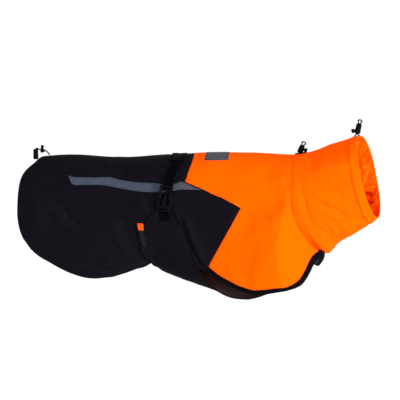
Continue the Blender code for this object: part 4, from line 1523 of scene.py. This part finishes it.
@dataclass
class FlankTape:
    """The grey reflective tape along each flank, slanted at its tail end and cut by the seam at its front."""

    lift: float = 0.75
    thick: float = 0.5
    steps: int = 170
    columns: int = 11
    # Upper edge x, z and lower edge x, z.
    rows: Rows = (
        (-191, -36, -184, -50), (-176, -39, -175, -54), (-141, -39, -141, -53), (-110, -38, -112, -54),
        (-92, -42, -96, -57), (-58, -46, -60, -62), (-21, -47, -21, -64), (2, -49, 2, -63),
        (20, -48, 20, -61), (34, -43.6, 34, -58.5), (46, -46.9, 46, -58.3), (60, -53.0, 60, -58.4),
        (74, -58.4, 73, -59.0),
    )

    def build(self) -> None:
        """Each tape is ruled between its two edges on the worn form, a little wavy where it is sewn."""
        rows = travel(self.rows, np.linspace(0, 1, self.steps))[:, None]
        across = np.linspace(0, 1, self.columns)[None]
        x = rows[..., 0] * (1 - across) + rows[..., 2] * across
        z = rows[..., 1] * (1 - across) + rows[..., 3] * across
        for side in Side:
            wave = 0.35 * ripple(x, z, 15, 2.0 + side.value) * np.sin(math.pi * across) ** 0.5
            grid = FORM.point(x, FORM.angle(x, z) * side.value, self.lift + wave)
            far = side is Side.FAR
            node = f"stripe_{side.word}"
            sheet_mesh(f"reflective_tape_{side.word}", node, grid, BEADS, self.thick, flip=far)
            n = normals(grid, flip=far)
            for share in (0.09, 0.91):
                SEWING.along(grid, n, share, BLACK_THREAD, TAPE_STITCH)


@dataclass
class GirthStrap:
    """The webbing over the back that carries both buckles, with the keepers that hold it down."""

    width: float = 20.0
    thick: float = 1.5
    steps: int = 60
    columns: int = 15
    # Girth angle from which it lifts off the coat towards the buckle, and how far.
    lifts_at: float = 0.78
    lifts_by: float = 3.4
    # Middle of a keeper, half its length, and the girth angles between which it lies.
    keeper_at: float = 21.0
    keeper_half: float = 13.0
    keeper_span: Pair = (0.16, 0.42)
    # x of its middle and height, from the spine to the buckle.
    rows: Rows = ((28, 4), (27, -3), (24, -12), (17, -22), (14, -32), (12, -42), (9.5, -52), (7.5, -61))

    def build(self) -> None:
        """The webbing follows the form and lifts towards the buckles; its selvedges are a little thinner."""
        near = FORM.on_form(self.rows)
        near[0, 1] = 0
        near = travel(near, np.linspace(0, 1, self.steps), FLAT_SCALE)
        line = np.concatenate([near[:0:-1] * (1, -1), near])
        across = np.linspace(-0.5, 0.5, self.columns)[None]
        x = line[:, :1] + across * self.width
        angle = line[:, 1:] + 0 * x
        low = smooth_step((np.abs(angle) - self.lifts_at) / 0.12)
        thin = -0.35 * smooth_step((np.abs(across) - 0.42) / 0.08)
        lift = 0.6 + self.thick + low * self.lifts_by + thin + 0.12 * ripple(x, angle * 90, 17, 3.0)
        grid = FORM.point(x, angle, lift)
        crest = np.broadcast_to(smooth_step((np.abs(across) - 0.4) / 0.1), x.shape)
        sheet_mesh("girth_webbing", "girth_strap", grid, WEBBING, self.thick, flip=True, crest=crest)
        for side in Side:
            self.keep(side)

    def keep(self, side: Side) -> None:
        """A band across the webbing near the spine: flat over it, with bar tacks beside its edges.

        Args:
            side: The flank.
        """
        turn = np.linspace(*self.keeper_span, 22)[:, None] * side.value
        across = np.linspace(-self.keeper_half, self.keeper_half, self.columns)[None]
        x = self.keeper_at + across - 6 * np.abs(turn)
        over = 2.1 - 1.3 * smooth_step((np.abs(across) - 10.2) / 2)
        fold = 0.35 * bell(across + 3, 1.6) - 0.3 * bell(across - 4, 2)
        grid = FORM.point(x, turn + 0 * x, over + 1.0 + fold)
        crest = 0.5 * smooth_step((np.abs(across) - 8) / 5) + 0 * x
        near = side is Side.NEAR
        node = f"strap_keeper_{side.word}"
        sheet_mesh(f"keeper_band_{side.word}", node, grid, BLACK_TAPE, 1.0, flip=near, crest=crest)
        n = normals(grid, flip=near)
        for share in (0.06, 0.1, 0.9, 0.94):
            SEWING.along(grid, n, share, BLACK_THREAD, TACK_STITCH)


def rounded(corners: Rows, radius: float, steps: int = 4) -> Array:
    """A closed outline whose corners are quadratic curves.

    Args:
        corners: Its corners in turn.
        radius: How far from a corner its curve starts, at most half of a side.
        steps: Points on each curve.

    Returns:
        The outline, turning left.
    """
    at = np.asarray(corners, float)
    before, after = np.roll(at, 1, 0) - at, np.roll(at, -1, 0) - at
    long0, long1 = np.linalg.norm(before, axis=1), np.linalg.norm(after, axis=1)
    r0 = np.minimum(radius, 0.45 * long0)[:, None]
    r1 = np.minimum(radius, 0.45 * long1)[:, None]
    first, last = at + unit(before) * r0, at + unit(after) * r1
    t = np.linspace(0, 1, steps)[None, :, None]
    line = (1 - t) ** 2 * first[:, None] + 2 * t * (1 - t) * at[:, None] + t**2 * last[:, None]
    line = line.reshape(-1, 2)
    after = np.roll(line, -1, 0)
    return line if (line[:, 0] * after[:, 1] - after[:, 0] * line[:, 1]).sum() > 0 else line[::-1]


def moulded(corners: Rows, low: float, high: float, edge: float) -> tuple[Array, Faces, Array]:
    """A flat moulded piece with round edges: its outline drawn in by a quarter circle at both faces.

    Args:
        corners: The outline's corners, forwards and up.
        low: Height of its back.
        high: Height of its front.
        edge: Radius of the edges.

    Returns:
        Local points, faces, and how much each point is on an edge.
    """
    line = rounded(corners, CORNER)
    count = len(line)
    way = unit(np.roll(line, -1, 0) - np.roll(line, 1, 0))
    inward = np.stack([-way[:, 1], way[:, 0]], axis=1)
    bend = np.array([0.0, 0.5, 1.0]) * math.pi / 2
    inset = np.concatenate([edge * (1 - np.sin(bend)), edge * (1 - np.sin(bend[::-1]))])
    level = np.concatenate([low + edge * (1 - np.cos(bend)), high - edge * (1 - np.cos(bend[::-1]))])
    rings = line[None] + inward[None] * inset[:, None, None]
    points = np.concatenate([rings, np.broadcast_to(level[:, None, None], (6, count, 1))], axis=2)
    faces = quads(6, count, True).tolist() + [list(range(count))[::-1], list(range(5 * count, 6 * count))]
    # Lightest on the front bevel: a painted highlight along the edges.
    crest = np.broadcast_to(np.array([0.2, 0.6, 0.2, 0.3, 1.0, 0.5])[:, None], (6, count))
    return points.reshape(-1, 3), faces, crest.ravel()


@dataclass
class Buckle:
    """A side-release buckle, fastened: the socket on the webbing above, the plug on the wing below."""

    middle: Pair = (4.0, -76.0)
    lift: float = 1.1
    # Places along the coat that its forward direction is taken between, and girth angles for its rise.
    along: Pair = (-8.0, 16.0)
    turn: float = 0.06
    # What the outlines are drawn in by, forwards and up.
    drawn_in: Point = (0.9, 0.97, 1.0)

    def placed(self, local: Array, side: Side) -> Array:
        """Points put on a flank, turned as the form is under the buckle.

        Args:
            local: The points, forwards, up and out from the buckle's middle.
            side: The flank.

        Returns:
            The points on the coat.
        """
        angle = float(FORM.angle(*self.middle)) * side.value
        x, turn = self.middle[0], self.turn * side.value
        up = unit(FORM.point(x, angle - turn) - FORM.point(x, angle + turn))
        forward = unit(FORM.point(self.along[1], angle) - FORM.point(self.along[0], angle))
        out = unit(np.cross(forward, up))
        axes = np.stack([forward, np.cross(out, forward), out * side.value])
        return FORM.point(x, angle, self.lift) + (local * self.drawn_in) @ axes

    def build(self) -> None:
        """Builds both halves of both buckles."""
        bar = ((-13, 22.6), (13, 22.6), (13, 26), (-13, 26))
        middle = ((-12, 15.6), (12, 15.6), (12, 19.2), (-12, 19.2))
        rail = ((10.6, 1), (14.5, 1), (14.5, 24.5), (12.5, 26), (10.6, 26))
        body = ((-14.5, 12.4), (-14.5, 1.5), (-13.2, -1.7), (-8.4, -1.7), (-8.4, 7), (-6.4, 9.2), (6.4, 9.2),
                (8.4, 7), (8.4, -1.7), (13.2, -1.7), (14.5, 1.5), (14.5, 12.4))
        ridge = ((-7.5, 10.2), (7.5, 10.2), (7.5, 11.4), (-7.5, 11.4))
        socket = (
            (bar, 1.2, 6.4, 1.4), (middle, 1.6, 6.0, 1.5), (rail, 0.2, 6.8, 0.9),
            (self.flipped(rail), 0.2, 6.8, 0.9), (body, 0.0, 7.2, 1.0), (ridge, 6.6, 7.8, 0.5),
        )
        arm = ((9.2, -17), (12.6, -17), (16.4, -7), (16.2, -4.6), (14.2, -2.2), (11.7, -2.2), (11.2, -8))
        prong = ((-2.4, -18), (2.4, -18), (2.7, 6), (1.6, 8), (-1.6, 8), (-2.7, 6))
        base = ((-14, -20.4), (14, -20.4), (13.6, -15), (3.6, -15.6), (2.6, -17), (-2.6, -17), (-3.6, -15.6),
                (-13.6, -15))
        foot = ((-13, -26), (13, -26), (13.6, -23.5), (-13.6, -23.5))
        post = ((10.2, -25), (14, -25), (14, -16), (10.2, -16))
        plug = (
            (foot, 0.6, 5.0, 1.1), (base, 0.3, 5.8, 1.1), (post, 0.3, 5.2, 0.8),
            (self.flipped(post), 0.3, 5.2, 0.8), (arm, 1.0, 5.4, 0.9), (self.flipped(arm), 1.0, 5.4, 0.9),
            (prong, 2.2, 5.6, 0.9),
        )
        for side in Side:
            self.half("buckle_socket", socket, side)
            self.half("buckle_plug", plug, side)

    @staticmethod
    def flipped(corners: Rows) -> Rows:
        """The outline on the other side of the buckle's middle."""
        return tuple((-a, b) for a, b in corners)

    def half(self, name: str, parts: Sequence[tuple], side: Side) -> None:
        """Joins the moulded parts of one half into a piece.

        Args:
            name: The node that it stands for, without its side.
            parts: Outline, back, front and edge radius of each part.
            side: The flank.
        """
        points, faces, crests, start = [], [], [], 0
        for corners, low, high, edge in parts:
            local, found, crest = moulded(corners, low, high, edge)
            points.append(self.placed(local, side))
            turned = found if side is Side.NEAR else [face[::-1] for face in found]
            faces += [[start + k for k in face] for face in turned]
            crests.append(crest)
            start += len(local)
        plastic_piece(f"{name}_moulding_{side.word}", f"{name}_{side.word}", np.concatenate(points), faces,
                      np.concatenate(crests))


@dataclass
class WingTab:
    """The webbing that comes off the wing's top edge and goes through the plug."""

    middle: float = 5.0
    half: float = 10.0
    top: float = -96.0
    foot: float = -118.0
    lift: float = 4.6
    rise: float = 2.4

    def build(self) -> None:
        """Webbing over the wing's edge that rises to the plug, sewn down with a box of tacks."""
        for side in Side:
            z = np.linspace(self.top, self.foot, 26)[:, None]
            across = np.linspace(-self.half, self.half, 13)[None] + 0 * z
            x = self.middle + across
            lift = self.lift + self.rise * smooth_step((z + 104) / 7)
            grid = FORM.point(x, FORM.angle(x, z + 0 * x) * side.value, lift)
            near = side is Side.NEAR
            crest = smooth_step((np.abs(across) - 8) / 2)
            node = f"wing_tab_{side.word}"
            sheet_mesh(f"wing_webbing_{side.word}", node, grid, WEBBING, 1.5, flip=near, crest=crest)
            n = normals(grid, flip=near)
            for row in (13, 22):
                SEWING.line(grid[row, 1:-1], n[row, 1:-1], BLACK_THREAD, TACK_STITCH)
            for share in (0.12, 0.88):
                SEWING.along(grid[13:23], n[13:23], share, BLACK_THREAD, TACK_STITCH)


@dataclass
class Ribbon:
    """The side ribbon at the wing's rear edge: an orange block at its head, plain dark below."""

    head: Pair = (-44.0, -124.3)
    length: float = 45.0
    half: float = 5.7
    lean: float = 7.0

    def build(self) -> None:
        """The ribbon leaves the seam, stands off the wing as an arch and turns a little to the front."""
        t = np.linspace(0, 1, 46)[:, None]
        across = np.linspace(-1, 1, 11)[None]
        z = self.head[1] - self.length * t
        x = self.head[0] + self.lean * t**1.4 + across * (self.half - 1.6 * t)
        lift = 4.2 + 1.6 * np.sin(math.pi * np.clip(t * 1.1, 0, 1)) + (0.9 * t + 0.5 * np.sin(5 * t)) * across
        grid = FORM.point(x, FORM.angle(x, z + 0 * x), lift)
        sheet_mesh("side_ribbon", "wing_label", grid, RIBBON, 0.5, flip=True)
        n = normals(grid, flip=True)
        for row in (2, -3):
            SEWING.line(grid[row, 1:-1], n[row, 1:-1], BLACK_THREAD, TACK_STITCH)


@dataclass
class SpinePatch:
    """A plain reflective patch over the spine on the orange panel."""

    front: FrontPanel
    start: float = 78.0
    end: float = 124.0
    # Half its width at its rear, and how much narrower that is at its front.
    half: float = 38.0
    narrows: float = 6.0
    lift: float = 0.95
    rows: int = 34
    # Lines of the panel's grid that it reaches to each side.
    reach: int = 36

    def build(self) -> None:
        """A strip over the spine, narrower at its front, read from the panel and moved out."""
        grid = self.front.grid()
        middle = grid.shape[1] // 2
        spine = grid[:, middle, 0]
        row = np.interp(np.linspace(self.start, self.end, self.rows), spine, np.arange(len(spine)))[:, None]
        lines = np.arange(-self.reach, self.reach + 1)
        run = arcs(grid, 1)[:, middle + lines].mean(0)
        run = run - run[self.reach]
        half = self.half - self.narrows * np.linspace(0, 1, self.rows)[:, None]
        column = np.interp(np.linspace(-1, 1, self.reach + 1)[None] * half, run, lines) + middle
        i, j = np.floor(row).astype(int), np.floor(column).astype(int)
        u, v = (row - i)[..., None], (column - j)[..., None]
        near = grid[i, j] * (1 - v) + grid[i, j + 1] * v
        ahead = grid[i + 1, j] * (1 - v) + grid[i + 1, j + 1] * v
        patch = near * (1 - u) + ahead * u
        patch = patch + normals(patch) * self.lift
        sheet_mesh("spine_reflector", "spine_patch", patch, BEADS, 0.5)
        n = normals(patch)
        for share in (0.03, 0.97):
            SEWING.along(patch, n, share, BLACK_THREAD, TAPE_STITCH)
        for row_number in (1, -2):
            SEWING.line(patch[row_number], n[row_number], BLACK_THREAD, TAPE_STITCH)


@dataclass
class ThroatTab:
    """A loop of folded tape that hangs flat from the throat."""

    middle: Pair = (304.5, -203.6)
    length: float = 29.0
    half: float = 8.0
    gap: float = 2.8
    slant: float = 0.42

    def build(self) -> None:
        """The tape runs down, turns over a narrow bend and comes up again, a little slanted."""
        turn = circle(64)
        along = self.length / 2 * np.sign(np.cos(turn)) * np.abs(np.cos(turn)) ** 0.7
        share = along / self.length * 2
        y = self.gap * np.sin(turn) * (0.8 - 0.35 * np.cos(turn))
        across = np.linspace(-1, 1, 15)[:, None]
        above, below = np.clip(share, 0, 1), np.clip(-share, 0, 1)
        wide = self.half * (1 - 0.42 * above**1.5 - 0.22 * below**3)
        x = self.middle[0] + self.slant * along + across * wide + 0.6 * np.sin(turn)
        z = self.middle[1] + along - across * 2.6 + 3.4 * across**2 * below
        y = y * (1 - 0.25 * across**2) + 0.5 * across * np.cos(2 * turn)
        grid = np.stack([x, y + 0 * across, z], axis=-1)
        # A painted sheen: a light streak along the fold of the loop's far layer, carried as the crest.
        painted_sheen = bell(across + 0.15 - along / 50, 0.15) * bell(along + 5, 6) * (np.sin(turn) < 0)
        sheet_mesh("throat_loop", "throat_tab", grid, LOOP_TAPE, 1.2, True, crest=painted_sheen)


# ---------------------------------------------------------------- cords and their locks


def turned_piece(name: str, profile: Rows, start: Sequence[float], end: Sequence[float], node: str,
                 sides: int = 36, lobes: int = 0, depth: float = 0.0) -> Piece:
    """A turned piece: a closed profile of share and radius carried round an axis, with lobes if wanted.

    Args:
        name: The piece's name.
        profile: Share of the axis and radius, from the axis or the bore round to it again.
        start: Where the axis starts.
        end: Where it ends.
        node: The node that the piece stands for.
        sides: Points of a ring.
        lobes: Grips round it.
        depth: How deep the grips are, as a share of the radius.

    Returns:
        The object.
    """
    start, end = np.array(start, float), np.array(end, float)
    axis = unit(end - start)
    side = unit(np.cross(axis, (0.0, 1.0, 0.0)))
    other = np.cross(axis, side)
    turn = circle(sides)
    ring = np.cos(turn)[:, None] * side + np.sin(turn)[:, None] * other
    rows = np.asarray(profile, float)
    outer = smooth_step((rows[:, 1] / rows[:, 1].max() - 0.7) / 0.2)[:, None]
    radius = rows[:, 1:] * (1 - depth * outer * (0.5 + 0.5 * np.cos(lobes * turn))[None])
    points = start + (end - start) * rows[:, None, :1] + ring[None] * radius[..., None]
    faces = quads(len(rows), sides, True).tolist()
    if profile[0] == profile[-1]:
        points = points[:-1]
        wrap = points.shape[0] * sides
        faces = [[k % wrap for k in face] for face in faces]
    else:
        faces += [list(range(sides))[::-1], list(range((len(rows) - 1) * sides, len(rows) * sides))]
    # The widest parts painted lighter: a highlight on grips and rims.
    crest = np.broadcast_to(outer[: len(points)] * 0.5, points.shape[:2])
    return plastic_piece(name, node, points, faces, crest)


@dataclass
class Cord:
    """A round braided cord in the middle plane of the coat."""

    name: str
    node: str
    route: Rows
    far_end: FarEnd
    radius: float = 1.35
    steps: int = 90
    sides: int = 14

    def build(self, with_pieces: Sequence[Piece]) -> None:
        """Args:
            with_pieces: The lock and what else is on it; not used.
        """
        line = travel(self.route, np.linspace(0, 1, self.steps))
        across = np.array((0.0, 1.0, 0.0))
        up = np.cross(unit(np.gradient(line, axis=0)), across)
        turn = circle(self.sides)
        ring = np.cos(turn)[None, :, None] * up[:, None] + np.sin(turn)[None, :, None] * across
        grid = line[:, None] + ring * self.radius
        ends = [np.broadcast_to(line[k], (self.sides, 3)) + ring[k] * self.radius * 0.05 for k in (0, -1)]
        grid = np.concatenate([ends[0][None], grid, ends[1][None]])
        cord = sheet_mesh(self.name, self.node, grid, CORD, 0.0, True, True)
        length = float(arcs(line, 0)[-1]) * MM
        2 * self.radius * MM
        LOG.info("%s %.0f mm", self.name, length / MM)


@dataclass
class TailCord:
    """The cord out of the tail hem, through its lock and down into a bell-shaped cord end."""

    route: Rows = (
        (-238, 0, -2.0), (-243, 0, 4.4), (-248.5, 0, 7.8), (-253, 0, 8.7), (-258, 0, 9.0),
        (-262, 0, 10.6), (-265, 0, 11.4), (-266.4, 0, 9.0), (-266.4, 0, 4),
    )
    # Both ends of the axes of the lock, its wings and the cord end.
    lock: tuple[Point, Point] = ((-252.2, 0, 3.2), (-253.5, 0, 13.0))
    wings: tuple[Point, Point] = ((-253.4, 0, 12.9), (-252.2, 0, 17.4))
    end: tuple[Point, Point] = ((-266.4, 0, 9.6), (-266.4, 0, -10.5))

    def build(self) -> None:
        """Builds the lock, its wings, the cord end and the cord."""
        barrel = ((0, 2.8), (0.05, 3.8), (0.14, 4.4), (0.42, 4.5), (0.52, 4.0), (0.66, 3.1), (1, 2.8))
        crown = ((0, 2.4), (0.2, 3.2), (0.5, 2.7), (0.8, 4.0), (1, 3.2))
        bell_end = ((0, 1.6), (0, 4.3), (0.03, 4.9), (0.1, 5.2), (0.24, 5.2), (0.28, 4.8), (0.32, 5.1),
                    (0.85, 5.2), (0.95, 4.9), (1, 4.2), (1, 0.5), (0.5, 0.5), (0.45, 1.6), (0, 1.6))
        lock = turned_piece("tail_cord_lock", barrel, *self.lock, "tail_lock", 32)
        wings = turned_piece("tail_cord_lock_top", crown, *self.wings, "tail_lock_top", 28)
        end = turned_piece("tail_cord_bell", bell_end, *self.end, "tail_cord_end", 40, 10, 0.05)
        Cord("tail_braid", "tail_cord", self.route, FarEnd.FITTING).build((lock, wings, end))


@dataclass
class LoopLock:
    """A barrel cord lock with a round button at its side, and the loop of cord that runs through it."""

    name: str
    start: Point
    end: Point
    button: tuple[Point, Point]
    legs: tuple[Point, Point]
    loop: float
    foot: float = 4.0
    # From a leg to the barrel's axis, and half the width of the loop.
    apart: float = 1.45
    loop_half: float = 4.0

    def route(self) -> Array:
        """Up through the lock, round a loop above it and down again, in the middle plane.

        Returns:
            The route's points.
        """
        start, end = np.array(self.start, float), np.array(self.end, float)
        axis = unit(end - start)
        side = np.array([-abs(axis[2]), 0, axis[0]])
        leg = side * self.apart
        rise = [start - axis * (self.foot + 1.2) + leg, start + axis * 3 + leg, end + leg,
                end + axis * 2 + leg + side * 0.8]
        fall = [p - 2 * side * np.dot(p - start, side) for p in rise[::-1]]
        bend = end + axis * self.loop * 0.75
        top = [bend + side * self.loop_half, end + axis * (self.loop + 0.6), bend - side * self.loop_half]
        return np.array([self.legs[0], *rise, *top, *fall, self.legs[1]], float)

    def build(self) -> None:
        """Builds the barrel, the button and the cord."""
        barrel = ((0, 3.2), (0, 4.6), (0.04, 5.6), (0.12, 6.1), (0.34, 6.2), (0.39, 5.5), (0.44, 5.7),
                  (0.86, 5.5), (0.95, 4.9), (1, 4.2), (1, 3.2), (0, 3.2))
        stud = ((0, 2.5), (0.45, 2.5), (0.49, 3.6), (0.57, 4.2), (0.86, 4.2), (0.95, 3.8), (1, 2.9))
        axis = unit(np.subtract(self.end, self.start))
        foot, base = np.subtract(self.start, axis * self.foot), np.array(self.button[0])
        root = base - unit(np.subtract(self.button[1], base)) * 4.5
        name = self.name
        lock = turned_piece(f"{name}_cord_lock", barrel, foot, self.end, f"{name}_lock", 40, 12, 0.04)
        button = turned_piece(f"{name}_lock_button", stud, root, self.button[1], f"{name}_button", 32)
        Cord(f"{name}_braid", f"{name}_cord", self.route(), FarEnd.OBJECT).build((lock, button))


# ---------------------------------------------------------------- the studio


@dataclass
class Studio:
    """A pale floor, soft lights and the camera."""

    aim: Point = (0.065, 0.0, -0.0895)
    turn: float = 5.0
    rise: float = 8.0
    away: float = 3.0
    floor: float = -0.60
    lens: float = 135.0
    sky: float = 1.12
    # Name, place, size and power of each light.
    lights: Sequence[tuple] = (("key", (4.3, -2.8, -0.25), 0.85, 432), ("fill", (-1.8, -2.0, 0.2), 1.4, 8))

    def build(self) -> None:
        """Builds the camera, lights, sky and floor."""
        self.build_camera()
        self.build_floor()
        sky = bpy.data.worlds.new("studio")
        sky.use_nodes = True
        sky.node_tree.nodes["Background"].inputs["Color"].default_value = (1, 1, 1, 1)
        sky.node_tree.nodes["Background"].inputs["Strength"].default_value = self.sky
        bpy.context.scene.world = sky
        bpy.context.scene.view_settings.view_transform = "Standard"
        for light in self.lights:
            self.light(*light)

    def build_camera(self) -> None:
        """Puts the camera at its distance from the aim, turned and raised."""
        turn, rise = math.radians(self.turn), math.radians(self.rise)
        back = Vector((math.sin(turn) * math.cos(rise), -math.cos(turn) * math.cos(rise), math.sin(rise)))
        data = bpy.data.cameras.new("camera")
        data.sensor_width, data.lens = 36.0, self.lens
        data.clip_start, data.clip_end = 0.05, 60.0
        camera = bpy.data.objects.new("camera", data)
        camera.location = Vector(self.aim) + back * self.away
        camera.rotation_euler = back.to_track_quat("Z", "Y").to_euler()
        bpy.context.scene.collection.objects.link(camera)
        bpy.context.scene.camera = camera

    def light(self, name: str, place: Point, size: float, power: float) -> None:
        """Adds a square soft light that faces the coat.

        Args:
            name: Its name.
            place: Where it stands, in metres.
            size: Its side, in metres.
            power: Its power in watts.
        """
        data = bpy.data.lights.new(name, "AREA")
        data.size, data.energy = size, power
        lamp = bpy.data.objects.new(name, data)
        lamp.location = place
        lamp.rotation_euler = (Vector(place) - Vector(self.aim)).to_track_quat("Z", "Y").to_euler()
        bpy.context.scene.collection.objects.link(lamp)

    def build_floor(self) -> None:
        """A flat pale floor, well below the coat."""
        mesh = bpy.data.meshes.new("floor")
        corners = [(x, y, self.floor) for x, y in ((-12, -6), (12, -6), (12, 40), (-12, 40))]
        mesh.from_pydata(corners, [], [(0, 1, 2, 3)])
        tree = NodeTree("pale_floor")
        pale = tree.mix(tree.noise(tree.place(), 0.02, 2), (0.90, 0.90, 0.90), (0.93, 0.93, 0.93))
        mesh.materials.append(tree.finish(Base_Color=pale, Roughness=0.9))
        floor = bpy.data.objects.new("floor", mesh)
        bpy.context.scene.collection.objects.link(floor)


def main() -> None:
    """Builds the studio and the coat, piece by piece."""
    logging.basicConfig(level=logging.INFO, format="%(message)s")
    back = BackPanel()
    front = FrontPanel(back)
    neck = LoopLock("neck", (264.4, 0, 10.7), (269.0, 0, 22), ((271.8, 0, 13.4), (277.9, 0, 11.6)),
                    ((254, 0, 5.4), (276, 0, 8.6)), 7)
    rim = LoopLock("rim", (376.5, 0, 51), (379.8, 0, 66), ((370.9, 0, 52.6), (364.4, 0, 50.8)),
                   ((370.5, 0, 40.8), (382.0, 0, 41.6)), 7, 4.6)
    parts = (
        Studio(), TailCord(), neck, rim, back, front, Collar(front), BellyPanel(), FlankTape(), GirthStrap(),
        Buckle(), WingTab(), Ribbon(), SpinePatch(front), ThroatTab(), SEWING,
    )
    for part in parts:
        part.build()
        LOG.info("built %s", type(part).__name__)
    bpy.context.view_layer.update()


if __name__ == "__main__":
    main()
